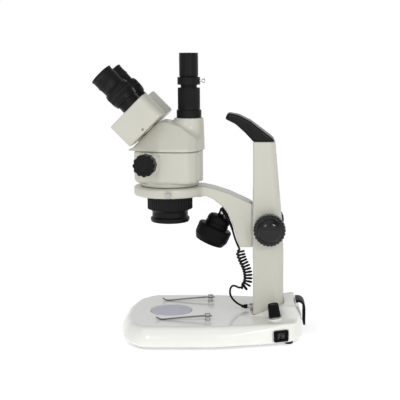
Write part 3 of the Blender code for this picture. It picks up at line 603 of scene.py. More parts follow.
class Graph:
    """A material and its nodes."""

    def __init__(self, name: str) -> None:
        """Start from the Principled shader that a new material has.

        Args:
            name: the material's name.
        """
        self.material = bpy.data.materials.new(name)
        self.material.use_nodes = True
        self.tree = self.material.node_tree
        self.shader = self.tree.nodes["Principled BSDF"]

    def feed(self, socket: bpy.types.NodeSocket, value: object) -> None:
        """Link a Value to a socket, or set a plain number, vector or colour on it.

        Args:
            socket: the socket.
            value: what it gets.
        """
        if isinstance(value, Value):
            self.tree.links.new(value.socket, socket)
        else:
            socket.default_value = value

    def node(self, kind: str, settings: dict[str, object], inputs: dict[object, object],
             output: int | str = 0) -> Value:
        """Any node: its settings first, then its sockets.

        Args:
            kind: the node's type.
            settings: its properties.
            inputs: the values or links of its sockets, by name or number.
            output: which of its outputs to return.

        Returns:
            That output.
        """
        made = self.tree.nodes.new(kind)
        for key, value in settings.items():
            setattr(made, key, value)
        for key, value in inputs.items():
            self.feed(made.inputs[key], value)
        return Value(self, made.outputs[output])

    def math(self, operation: str, first: Value | float, second: Value | float = 0.0) -> Value:
        """One Math node."""
        return self.node("ShaderNodeMath", {"operation": operation}, {0: first, 1: second})

    def object_point(self) -> Value:
        """The place on the object, in metres."""
        return self.node("ShaderNodeTexCoord", {}, {}, "Object")

    def noise(self, where: Value, scale: float, detail: float = 2.0) -> Value:
        """Soft noise from 0 to 1 with so many lumps to the metre."""
        return self.node("ShaderNodeTexNoise", {}, {"Vector": where, "Scale": scale, "Detail": detail}, 0)

    def ramp(self, value: Value, low: float, high: float) -> Value:
        """The value stretched from 0 at low to 1 at high, and held there."""
        return self.node("ShaderNodeMapRange", {"clamp": True},
                         {"Value": value, "From Min": low, "From Max": high}, 0)

    def mix(self, share: Value | float, first: object, second: object) -> Value:
        """A colour between two colours."""
        return self.node("ShaderNodeMix", {"data_type": "RGBA"}, {0: share, 6: first, 7: second}, 2)

    def edges(self, low: float = 0.52, high: float = 0.6) -> Value:
        """1 on sharp outer edges, 0 on flat and hollow places."""
        pointed = self.node("ShaderNodeNewGeometry", {}, {}, "Pointiness")
        return self.ramp(pointed, low, high)

    def rings(self, origin: Sequence[float], axis: Sequence[float], scale: float) -> Value:
        """Noise that only changes across rings about an axis, as a lathe leaves.

        The noise is read at (distance from the axis, distance along it, 0).

        Args:
            origin: a point on the axis, in millimetres.
            axis: the axis's direction.
            scale: how many lumps there are to the metre.

        Returns:
            The noise, from 0 to 1.
        """
        offset = self.node("ShaderNodeVectorMath", {"operation": "SUBTRACT"},
                           {0: self.object_point(), 1: tuple(x * MM for x in origin)})
        height = self.node("ShaderNodeVectorMath", {"operation": "DOT_PRODUCT"}, {0: offset, 1: tuple(axis)}, "Value")
        square = self.node("ShaderNodeVectorMath", {"operation": "DOT_PRODUCT"}, {0: offset, 1: offset}, "Value")
        radius = self.math("SQRT", self.math("MAXIMUM", square - height * height, 0.0))
        flat = self.node("ShaderNodeCombineXYZ", {}, {0: radius, 1: height})
        return self.noise(flat, scale, 3.0)

    def bump(self, height: Value, depth: float) -> None:
        """Press a pattern into the surface, depth in millimetres."""
        normal = self.node("ShaderNodeBump", {}, {"Height": height, "Distance": depth * MM, "Strength": 1.0}, 0)
        self.feed(self.shader.inputs["Normal"], normal)

    def constants(self, **values: object) -> None:
        """Set the shader's own sockets; underscores stand for spaces."""
        for key, value in values.items():
            self.shader.inputs[key.replace("_", " ")].default_value = value


def rgba(colour: Sequence[float], gain: float = 1.0) -> tuple[float, float, float, float]:
    """A colour as four numbers, made lighter or darker."""
    return (*(min(1.0, c * gain) for c in colour[:3]), 1.0)


# --------------------------------------------------------------- finishes

@dataclass(frozen=True)
class Paint:
    """Sprayed enamel on a casting: faint orange peel, a little dust, brighter worn edges."""

    colour: tuple[float, float, float]
    roughness: float
    peel: float = 0.035
    coat: float = 0.25

    def material(self, name: str) -> bpy.types.Material:
        """Build the paint.

        Args:
            name: the material's name.

        Returns:
            The material.
        """
        graph = Graph(name)
        where = graph.object_point()
        cloud, dust = graph.noise(where, 14.0, 3.0), graph.noise(where, 420.0, 4.0)
        tone = graph.mix(graph.ramp(cloud, 0.3, 0.7), rgba(self.colour, 0.975), rgba(self.colour, 1.02))
        speck = graph.ramp(graph.noise(where, 1900.0, 1.0), 0.74, 0.82) * 0.22
        tone = graph.mix(speck, tone, rgba(self.colour, 0.82))
        edge = graph.edges() * graph.ramp(dust, 0.35, 0.65)
        graph.feed(graph.shader.inputs["Base Color"], graph.mix(edge * 0.35, tone, rgba(self.colour, 1.12)))
        rough = (dust - 0.5) * 0.12 + self.roughness + edge * 0.08
        graph.feed(graph.shader.inputs["Roughness"], rough)
        peel = graph.noise(where, 650.0, 1.5) + graph.noise(where, 2600.0, 1.0) * 0.25
        graph.bump(peel, self.peel)
        graph.constants(Coat_Weight=self.coat, Coat_Roughness=0.12, Specular_IOR_Level=0.5)
        return graph.material


@dataclass(frozen=True)
class Moulded:
    """Moulded plastic or rubber: fine grain, dull patches and greyed edges."""

    colour: tuple[float, float, float]
    roughness: float
    grain: float = 0.03
    grain_scale: float = 2400.0
    coat: float = 0.0
    worn: float = 0.25
    gloss: float = 0.14

    def material(self, name: str) -> bpy.types.Material:
        """Build the plastic.

        Args:
            name: the material's name.

        Returns:
            The material.
        """
        graph = Graph(name)
        where = graph.object_point()
        patch, fine = graph.noise(where, 60.0, 4.0), graph.noise(where, self.grain_scale, 3.0)
        edge = graph.edges(0.54, 0.66) * graph.ramp(patch, 0.3, 0.6)
        tone = graph.mix(graph.ramp(patch, 0.25, 0.75), rgba(self.colour, 0.8), rgba(self.colour, 1.3))
        worn = tuple(c * 2.2 + 0.02 for c in self.colour)
        graph.feed(graph.shader.inputs["Base Color"], graph.mix(edge * self.worn, tone, rgba(worn)))
        rough = (patch - 0.5) * 0.22 + self.roughness + (fine - 0.5) * 0.1 - edge * 0.08
        graph.feed(graph.shader.inputs["Roughness"], rough)
        graph.bump(fine, self.grain)
        graph.constants(Coat_Weight=self.coat, Coat_Roughness=0.08, Specular_IOR_Level=self.gloss)
        return graph.material


@dataclass(frozen=True)
class Lathed:
    """Metal or black anodised metal with the rings of its turning about an axis."""

    colour: tuple[float, float, float]
    roughness: float
    metallic: float
    origin: tuple[float, float, float]
    axis: tuple[float, float, float]
    ring: float = 0.012
    scale: float = 1600.0

    def material(self, name: str) -> bpy.types.Material:
        """Build the metal.

        Args:
            name: the material's name.

        Returns:
            The material.
        """
        graph = Graph(name)
        where = graph.object_point()
        rings, patch = graph.rings(self.origin, self.axis, self.scale), graph.noise(where, 110.0, 4.0)
        edge = graph.edges(0.53, 0.64)
        bright = tuple(min(1.0, c * 1.25 + 0.03) for c in self.colour)
        tone = graph.mix(graph.ramp(patch, 0.25, 0.75), rgba(self.colour, 0.86), rgba(self.colour, 1.1))
        graph.feed(graph.shader.inputs["Base Color"], graph.mix(edge * 0.4, tone, rgba(bright)))
        rough = (rings - 0.5) * 0.2 + self.roughness + (patch - 0.5) * 0.14
        graph.feed(graph.shader.inputs["Roughness"], rough)
        graph.bump(rings, self.ring)
        graph.constants(Metallic=self.metallic, Specular_IOR_Level=0.5 if self.metallic else 0.13)
        return graph.material


@dataclass(frozen=True)
class Milled:
    """Bare metal with straight tool marks along one axis and faint stains."""

    colour: tuple[float, float, float]
    roughness: float
    stretch: tuple[float, float, float] = (900.0, 900.0, 40.0)

    def material(self, name: str) -> bpy.types.Material:
        """Build the metal.

        Args:
            name: the material's name.

        Returns:
            The material.
        """
        graph = Graph(name)
        where = graph.object_point()
        drawn = graph.node("ShaderNodeMapping", {}, {"Vector": where, "Scale": self.stretch})
        lines, stain = graph.noise(drawn, 1.0, 3.0), graph.noise(where, 90.0, 4.0)
        tone = graph.mix(graph.ramp(stain, 0.3, 0.75), rgba(self.colour, 0.84), rgba(self.colour, 1.08))
        graph.feed(graph.shader.inputs["Base Color"], tone)
        graph.feed(graph.shader.inputs["Roughness"], (lines - 0.5) * 0.24 + self.roughness + (stain - 0.5) * 0.12)
        graph.bump(lines, 0.012)
        graph.constants(Metallic=1.0)
        return graph.material


@dataclass(frozen=True)
class Frosted:
    """Ground glass or a diffusing lens: pale, with an even fine grain."""

    colour: tuple[float, float, float]
    roughness: float = 0.42

    def material(self, name: str) -> bpy.types.Material:
        """Build the glass.

        Args:
            name: the material's name.

        Returns:
            The material.
        """
        graph = Graph(name)
        where = graph.object_point()
        cloud, grain = graph.noise(where, 45.0, 3.0), graph.noise(where, 3200.0, 2.0)
        graph.feed(graph.shader.inputs["Base Color"],
                   graph.mix(graph.ramp(cloud, 0.3, 0.7), rgba(self.colour, 0.95), rgba(self.colour, 1.04)))
        graph.feed(graph.shader.inputs["Roughness"], (grain - 0.5) * 0.2 + self.roughness)
        graph.bump(grain, 0.01)
        graph.constants(Coat_Weight=0.15, Coat_Roughness=0.2, IOR=1.5)
        return graph.material


@dataclass(frozen=True)
class CoatedLens:
    """A dark lens with a painted reflection: the coating's coloured sheen is mixed into its colour where it is seen
    at a slant.
    """

    colour: tuple[float, float, float] = (0.012, 0.016, 0.022)
    # the colour of the painted reflection of the coating, shown at a slant
    sheen: tuple[float, float, float] = (0.10, 0.05, 0.16)

    def material(self, name: str) -> bpy.types.Material:
        """Build the lens.

        Args:
            name: the material's name.

        Returns:
            The material.
        """
        graph = Graph(name)
        # painted reflection: how slanting the view is mixes the coating's sheen into the base colour
        slant = graph.node("ShaderNodeLayerWeight", {}, {"Blend": 0.35}, "Facing")
        smear = graph.noise(graph.object_point(), 130.0, 3.0)
        graph.feed(graph.shader.inputs["Base Color"],
                   graph.mix(graph.ramp(slant, 0.2, 0.9), rgba(self.colour), rgba(self.sheen)))
        graph.feed(graph.shader.inputs["Roughness"], graph.ramp(smear, 0.4, 0.9) * 0.12 + 0.03)
        graph.bump(smear, 0.002)
        graph.constants(Coat_Weight=0.6, Coat_Roughness=0.03, IOR=1.6)
        return graph.material


@dataclass(frozen=True)
class Circuit:
    """A printed board: green lacquer over straight tracks, with pale dots."""

    colour: tuple[float, float, float] = (0.012, 0.10, 0.035)

    def material(self, name: str) -> bpy.types.Material:
        """Build the board.

        Args:
            name: the material's name.

        Returns:
            The material.
        """
        graph = Graph(name)
        where = graph.object_point()
        tracks = graph.node("ShaderNodeTexBrick", {"offset": 0.5},
                            {"Vector": where, "Scale": 260.0, "Mortar Size": 0.12,
                             "Color1": rgba(self.colour, 0.8), "Color2": rgba(self.colour, 1.2),
                             "Mortar": rgba(self.colour, 2.2)}, 0)
        dots = graph.node("ShaderNodeTexVoronoi", {}, {"Vector": where, "Scale": 330.0}, "Distance")
        tin = 1 - graph.ramp(dots, 0.16, 0.2)
        graph.feed(graph.shader.inputs["Base Color"], graph.mix(tin * 0.8, tracks, (0.55, 0.55, 0.52, 1.0)))
        graph.feed(graph.shader.inputs["Roughness"], 0.45 - tin * 0.15)
        graph.bump(tin, 0.15)
        return graph.material


PLASTIC = (0.005, 0.005, 0.0055)
ANODISED = (0.006, 0.006, 0.0065)
STEEL = (0.50, 0.50, 0.49)

CREAM = Paint((0.500, 0.497, 0.430), 0.38)
OFF_WHITE = Paint((0.77, 0.77, 0.725), 0.24, 0.02, 0.5)
SATIN_BLACK = Moulded((0.0032, 0.0032, 0.0036), 0.42, gloss=0.08)
GLOSS_BLACK = Moulded((0.003, 0.003, 0.0035), 0.12, 0.004, 900.0, 0.0, 0.1, 0.35)
RUBBER = Moulded((0.020, 0.020, 0.020), 0.72, 0.06, 1800.0, 0.0, 0.3)
CUP_RUBBER = Moulded((0.007, 0.007, 0.0075), 0.5, 0.03, 2000.0, 0.0, 0.3)
CORD_JACKET = Moulded(PLASTIC, 0.36, 0.02, 1500.0, 0.0, 0.1)
GRIP_BLACK = Moulded(PLASTIC, 0.34, 0.02, 2000.0, 0.0, 0.2, 0.18)
KNOB_BLACK = Moulded(PLASTIC, 0.36)
SWITCH_WHITE = Moulded((0.13, 0.13, 0.13), 0.5, 0.005, 900.0, 0.0, 0.0)
DIFFUSER = Frosted((0.50, 0.505, 0.585))
LAMP_GLASS = Frosted((0.72, 0.74, 0.76), 0.3)
STEEL_SHEET = Milled((0.42, 0.42, 0.42), 0.42, (40.0, 900.0, 900.0))
SLIDE_METAL = Milled((0.60, 0.60, 0.61), 0.36)
BRASS_RACK = Milled((0.62, 0.44, 0.18), 0.36, (900.0, 60.0, 900.0))


def anodised(place: Place, axis: Sequence[float] = (0, 0, 1), roughness: float = 0.36) -> Lathed:
    """Black anodised metal turned about an axis of a frame."""
    return Lathed(ANODISED, roughness, 0.0, place.at, tuple(place.spin @ np.array(axis, float)))


def chromed(place: Place, axis: Sequence[float] = (0, 0, 1), roughness: float = 0.14,
            tone: float = 0.6) -> Lathed:
    """Bright plated metal turned about an axis of a frame."""
    return Lathed((tone, tone, 0.97 * tone), roughness, 1.0, place.at,
                  tuple(place.spin @ np.array(axis, float)), ring=0.006)


def bare_steel(place: Place, axis: Sequence[float] = (0, 0, 1)) -> Lathed:
    """Plain turned steel."""
    return Lathed(STEEL, 0.3, 1.0, place.at, tuple(place.spin @ np.array(axis, float)))


Finish = Paint | Moulded | Lathed | Milled | Frosted | CoatedLens | Circuit


# ------------------------------------------------------------- assembling

class Workshop:
    """Puts finished pieces on the CAD's bodies and dresses the CAD parts that stay.

    Its three angles, in degrees, say when recast merges two faces, keeps an edge
    sharp and rounds an edge.
    """

    flat_angle, sharp_angle, bevel_angle = 1.0, 40.0, 30.0

    def __init__(self, model: dict) -> None:
        """Read which body and which material slot each node has.

        Args:
            model: what loading the frame gave: its record and its nodes.
        """
        record = model["record"]
        self.nodes = model["nodes"]
        self.body = {node: body for body, nodes in record["behaviour"]["bodies"].items() for node in nodes}
        self.slot = {row["node"]: row["material_slot"] for row in record["subparts"]}

    def install(self, name: str, shape: Skin | bpy.types.Object, finish: Finish, *nodes: str,
                body: str = "") -> bpy.types.Object:
        """Make a piece, dress it and set it on its body in place of its CAD nodes.

        Args:
            name: the piece's name.
            shape: its skin in the object's frame, or an object made already.
            finish: its finish.
            nodes: the CAD nodes it stands for; none for an extra detail.
            body: the body it rides on, where it stands for no node.

        Returns:
            The piece.
        """
        piece = make_object(name, shape) if isinstance(shape, Skin) else shape
        piece.name = piece.data.name = name
        piece.data.materials.clear()
        piece.data.materials.append(finish.material(name + "_finish"))
        rides_on = body or self.body[nodes[0]]
        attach(piece, rides_on)
        if nodes:
            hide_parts(*nodes)
        LOG.info("%s: %d faces on %s", name, len(piece.data.polygons), rides_on)
        return piece

    def dress(self, node: str, finish: Finish) -> None:
        """Give a CAD part that stays a finish of its own.

        Args:
            node: the part's node.
            finish: its finish.
        """
        part = self.nodes[node]
        material = finish.material(node + "_finish")
        if not part.material_slots:
            part.data.materials.append(material)
        for slot in part.material_slots:
            slot.material = material
        LOG.info("%s keeps its shape", node)

    def recast(self, node: str, bevel: float, segments: int = 3) -> bpy.types.Object:
        """A copy of a plain CAD part, merged, with its sharp edges rounded.

        Args:
            node: the part's node.
            bevel: how far its edges are rounded, in millimetres.
            segments: how many faces each rounding has.

        Returns:
            The new object.
        """
        bm = bmesh.new()
        bm.from_mesh(self.nodes[node].data)
        bmesh.ops.remove_doubles(bm, verts=bm.verts, dist=WELD)
        bmesh.ops.dissolve_limit(bm, angle_limit=math.radians(self.flat_angle), verts=bm.verts, edges=bm.edges)
        bmesh.ops.recalc_face_normals(bm, faces=bm.faces)
        mesh = bpy.data.meshes.new(node + "_form")
        bm.to_mesh(mesh)
        bm.free()
        mesh.shade_smooth()
        mesh.set_sharp_from_angle(angle=math.radians(self.sharp_angle))
        obj = put(node + "_form", mesh)
        rounding = obj.modifiers.new("Rounding", "BEVEL")
        rounding.width = bevel * MM
        rounding.segments = segments
        rounding.limit_method = "ANGLE"
        rounding.angle_limit = math.radians(self.bevel_angle)
        rounding.harden_normals = True
        return obj


# ------------------------------------------------------------------ studio

@dataclass(frozen=True)
class SoftBox:
    """A square soft light: where it is, what it is aimed at, its side and its power."""

    name: str
    at: tuple[float, float, float]
    aim: tuple[float, float, float]
    power: float
    size: float = 0.24


@dataclass
class Studio:
    """The camera, the lights and the floor."""

    camera_at: tuple[float, float, float] = (0.0734, -1.45, 0.4236)
    pitch: float = 8.9
    lens: float = 91.35
    shift: float = -0.1325
    sensor: float = 36.0
    boxes: tuple[SoftBox, ...] = (SoftBox("key_light", (0.62, -1.35, 0.72), (0.05, 0.0, 0.2), 4.2),
                                  SoftBox("fill_light", (-0.42, -1.4, 0.66), (0.0, 0.0, 0.2), 2.2))
    sun_power: float = 0.6
    sun_angle: float = 70.0
    sun_turn: Row = (28.0, -14.0, 0.0)
    sky: tuple = ((0.16, (1.0, 1.0, 1.0, 1.0)), (0.62, (0.34, 0.34, 0.35, 1.0)))
    floor_reach: float = 30.0
    floor_glow: float = 0.42

    def camera(self) -> None:
        """A camera that looks along +Y and a little down."""
        data = bpy.data.cameras.new("camera")
        data.lens, data.sensor_width = self.lens, self.sensor
        data.shift_x = self.shift
        data.clip_start, data.clip_end = 0.05, 50.0
        camera = put("camera", data)
        camera.location = self.camera_at
        camera.rotation_euler = (math.radians(90.0 - self.pitch), 0.0, 0.0)
        bpy.context.scene.camera = camera

    def soft_box(self, box: SoftBox) -> None:
        """Hang one soft light and turn it to its aim.

        Args:
            box: the light.
        """
        data = bpy.data.lights.new(box.name, "AREA")
        data.shape, data.size, data.energy = "SQUARE", box.size, box.power
        lamp = put(box.name, data)
        back = np.array(box.at, float) - np.array(box.aim, float)
        back /= np.linalg.norm(back)
        lamp.location = box.at
        lamp.rotation_euler = (math.acos(back[2]), 0.0, math.atan2(back[0], -back[1]))

    def lights(self) -> None:
        """Two soft boxes in front, a wide soft sun overhead and a pale room."""
        for box in self.boxes:
            self.soft_box(box)
        sun = bpy.data.lights.new("overhead", "SUN")
        sun.energy, sun.angle = self.sun_power, math.radians(self.sun_angle)
        put("overhead", sun).rotation_euler = [math.radians(degrees) for degrees in self.sun_turn]
        world = bpy.data.worlds.new("studio")
        world.use_nodes = True
        tree = world.node_tree
        coordinate, split = tree.nodes.new("ShaderNodeTexCoord"), tree.nodes.new("ShaderNodeSeparateXYZ")
        ramp, background = tree.nodes.new("ShaderNodeValToRGB"), tree.nodes["Background"]
        tree.links.new(coordinate.outputs["Generated"], split.inputs[0])
        tree.links.new(split.outputs["Z"], ramp.inputs["Fac"])
        tree.links.new(ramp.outputs["Color"], background.inputs["Color"])
        for stop, (position, colour) in zip(ramp.color_ramp.elements, self.sky):
            stop.position, stop.color = position, colour
        bpy.context.scene.world = world
        bpy.context.scene.view_settings.view_transform = "Standard"

    def floor(self) -> None:
        """A wide pale floor."""
        mesh = bpy.data.meshes.new("floor")
        reach = self.floor_reach
        mesh.from_pydata([(-reach, -reach, 0), (reach, -reach, 0), (reach, reach, 0), (-reach, reach, 0)],
                         [], [(0, 1, 2, 3)])
        floor = put("floor", mesh)
        graph = Graph("floor_finish")
        cloud = graph.noise(graph.object_point(), 2.0, 2.0)
        graph.feed(graph.shader.inputs["Base Color"],
                   graph.mix(cloud, (0.94, 0.94, 0.94, 1.0), (0.96, 0.96, 0.96, 1.0)))
        graph.constants(Roughness=0.9, Specular_IOR_Level=0.1, Emission_Color=(1.0, 1.0, 1.0, 1.0),
                        Emission_Strength=self.floor_glow)
        mesh.materials.append(graph.material)


# -------------------------------------------------------------- lamp cord

@dataclass
class CurlyCord:
    """The lamp's cord: a lead under the arm, a curly part and a tail to the jack."""

    diameter: float = 3.0
    curl_radius: float = 5.5
    curl_pitch: float = 4.6
    length: float = 0.56
    line_pieces: int = 60
    line_step: float = 0.2
    relief_reach: int = 130
    relief_rings: int = 7
    lead: Rows = ((-39.2, -9.5, 177.0), (-38.1, -9.5, 175.2), (-36.5, -9.5, 172.2), (-34.8, -9.2, 168.0),
                   (-32.7, -8.4, 163.4), (-31.2, -7.2, 159.6), (-28.9, -4.9, 151.0), (-26.7, -2.6, 142.4),
                   (-24.4, -0.9, 135.5), (-22.2, 0, 129.8))
    curl: Rows = ((-19.9, 0, 124.6), (-17.0, 0, 113), (-14.0, 0, 105.4), (-10.4, 0, 97.8), (-8.2, 0, 90.2),
                   (-7.4, 0, 81.7), (-8.4, 0, 73.9), (-12.2, 0, 68.6), (-18.0, 0, 66.9))
    tail: Rows = ((-21.6, 0, 67.0), (-25.6, 0, 68.9), (-29.8, 0, 69.2), (-33.0, 0, 65.4), (-33.6, 0, 58.0),
                   (-30.8, 0, 51.0), (-25.0, 0, 44.6), (-18.4, 0, 40.4), (-13.0, 0, 38.8), (-9.4, 0, 38.5))
    plug_profile: Rows = ((0, -0.6), (2.9, -0.6), (3.1, 0.2), (3.1, 4.6), (2.2, 5.4), (1.8, 8.6), (0, 8.8))
    blend_span: Rows = ((0, 0, 42.0), (0, 0, 152.0))

    def route(self) -> tuple[Array, Array]:
        """The cord's line and the direction across it.

        The spine is a smooth line.  On the curly part the cord stands off it by the
        curl radius, at the angle 2 pi * distance / pitch, and swings in and out over
        the first and last turn.

        Returns:
            The line's points and the unit directions across it, one row each.
        """
        spine = wave(np.array(self.lead + self.curl + self.tail, float), self.line_pieces)
        along = np.concatenate([[0], np.cumsum(np.linalg.norm(np.diff(spine, axis=0), axis=1))])
        first = along[len(self.lead) * self.line_pieces]
        last = along[(len(self.lead) + len(self.curl) - 1) * self.line_pieces]
        at = np.linspace(0, along[-1], int(along[-1] / self.line_step))
        spine = np.stack([np.interp(at, along, spine[:, k]) for k in range(3)], axis=1)
        forward = np.gradient(spine, axis=0)
        forward /= np.linalg.norm(forward, axis=1, keepdims=True)
        side = np.cross(forward, [0.0, 1.0, 0.0])
        side /= np.linalg.norm(side, axis=1, keepdims=True)
        other = np.cross(side, forward)
        share = np.clip(np.minimum(at - first, last - at) / self.curl_pitch, 0, 1)
        off = self.curl_radius * share * share * (3 - 2 * share)
        angle = 2 * np.pi * np.clip(at - first, 0, last - first) / self.curl_pitch
        across = side * np.cos(angle)[:, None] + other * np.sin(angle)[:, None]
        return spine + across * off[:, None], across

    def build(self, shop: Workshop) -> None:
        """The cord, its tapered relief at the bracket and its plug at the jack.

        Args:
            shop: what the pieces are installed through.
        """
        path, across = self.route()
        tube = swept(path, across, round_section(self.diameter / 2), 12)
        cord = make_object("lamp_cord", tube.placed(STAND))
        cord.data.materials.append(CORD_JACKET.material("lamp_cord_finish"))

        share = np.linspace(0, 1, 60)
        reached = (share * self.relief_reach).astype(int)
        taper = (2.7 - 1.0 * share - 0.16 * np.cos(share * 2 * np.pi * self.relief_rings))[:, None]
        relief = swept(path[reached], across[reached], round_section(taper), 24)
        shop.install("cord_relief", relief.placed(STAND), CUP_RUBBER, body="arm")
        plug_at = STAND.inner((-8.6, 0, 38.5), turn("y", -90))
        plug = turned(self.plug_profile, 0.4, 32)
        shop.install("cord_plug", plug.placed(plug_at), SATIN_BLACK, body="stand")

        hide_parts("lamp_cord_lead", "lamp_cord_coil", "lamp_cord_tail")
        world = STAND.move(path) * MM
        low, high = STAND.move(np.array(self.blend_span)) * MM
        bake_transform(cord)
        LOG.info("lamp_cord: %.3f m", float(np.linalg.norm(np.diff(path, axis=0), axis=1).sum()) * MM)


# ----------------------------------------------------------------- pillar

@dataclass
class Pillar:
    """The tapering pillar with its slot, and the carrying handle."""

    heights: Row = (0.0, 127.0, 185.0, 283.0)
    rears: Row = (44.0, 44.0, 40.5, 32.0)
    halves: Row = (29.0, 28.5, 27.5, 25.5)
    bottom: float = 33.3
    slot: Row = (72.0, 268.0)
    slot_half: float = 15.0
    slot_depth: float = 33.0
    shaft: Row = (23.4, 160.4)
    shaft_bore: float = 4.3
    top: float = 283.0
    front_radius: float = 2.2
    rear_radius: float = 13.0
    boss: Row = (13.0, 30.0, 8.0)
    boss_fillet: float = 2.5
    top_edge: float = 1.2
    slot_edge: float = 0.8
    grip_bottom: float = 283.3
    grip_edge: float = 4.0
    grip_side: Rows = ((0, 283.3, 1), (-11, 295, 30), (-25, 307.5, 30), (-40, 314.5, 3), (-35.5, 323.5, 5),
                       (-19, 320, 30), (-3, 311.5, 30), (14, 298.5, 30), (27, 288.5, 8), (32, 283.3, 1))
    grip_plan: Rows = ((33, 25.5, 10), (10, 25.5, 20), (-8, 21, 30), (-39, 14, 9), (-60, 11, 1))

    def section(self, x: Array, y: Array, z: Array) -> Array:
        """Distance from the pillar's plan at each height: small front corners, big rear ones.

        Args:
            x: the sample points' x.
            y: the sample points' y.
            z: the sample points' z.

        Returns:
            The distances, less than zero inside.
        """
        rear, half = np.interp(z, self.heights, self.rears), np.interp(z, self.heights, self.halves)
        radius = np.where(x > rear / 2, self.rear_radius, self.front_radius)
        return rounded_box(x - rear / 2, y, rear / 2, half, radius)

    def casting(self) -> Skin:
        """The plan at every height, the slot taken out, a boss for the far knob added.

        Returns:
            The skin, in the object's frame.
        """
        block = Block((0, -29, 33), (44, 38, 283), 1.2)
        x, y, z = block.axes()
        field_at = smooth_max(self.section(x, y, z), z - self.top, self.top_edge)
        field_at = np.maximum(field_at, self.bottom - z)
        low, high = self.slot
        slot = np.maximum(np.maximum(np.abs(y) - self.slot_half, x - self.slot_depth), np.maximum(low - z, z - high))
        field_at = smooth_max(field_at, -slot, self.slot_edge)
        reach = np.hypot(x - self.shaft[0], z - self.shaft[1])
        radius, middle, half = self.boss
        boss = np.maximum(reach - radius, np.abs(y - middle) - half)
        field_at = smooth_max(smooth_min(field_at, boss, self.boss_fillet), self.shaft_bore - reach, 0.5)
        return block.skin(field_at).placed(STAND)

    def handle(self) -> Skin:
        """The handle: its side outline and its plan, met with soft edges.

        Returns:
            The skin, in the object's frame.
        """
        block = Block((-41, -26, 283), (33, 26, 324), 1.0)
        x, y, z = block.axes()
        profile = outline_field(self.grip_side, x, z)
        plan = outline_field(mirrored(self.grip_plan), x, y)
        solid = smooth_max(profile, plan, self.grip_edge)
        return block.skin(np.maximum(solid, self.grip_bottom - z)).placed(STAND)

    def build(self, shop: Workshop) -> None:
        """Build and dress the pillar, its handle and the guide inside.

        Args:
            shop: what the pieces are installed through.
        """
        shop.install("pillar_casting", self.casting(), CREAM, "pillar")
        shop.install("handle_grip", self.handle(), GRIP_BLACK, "carry_handle")
        shop.dress("dovetail_guide", SLIDE_METAL)


# ------------------------------------------------------------------- base

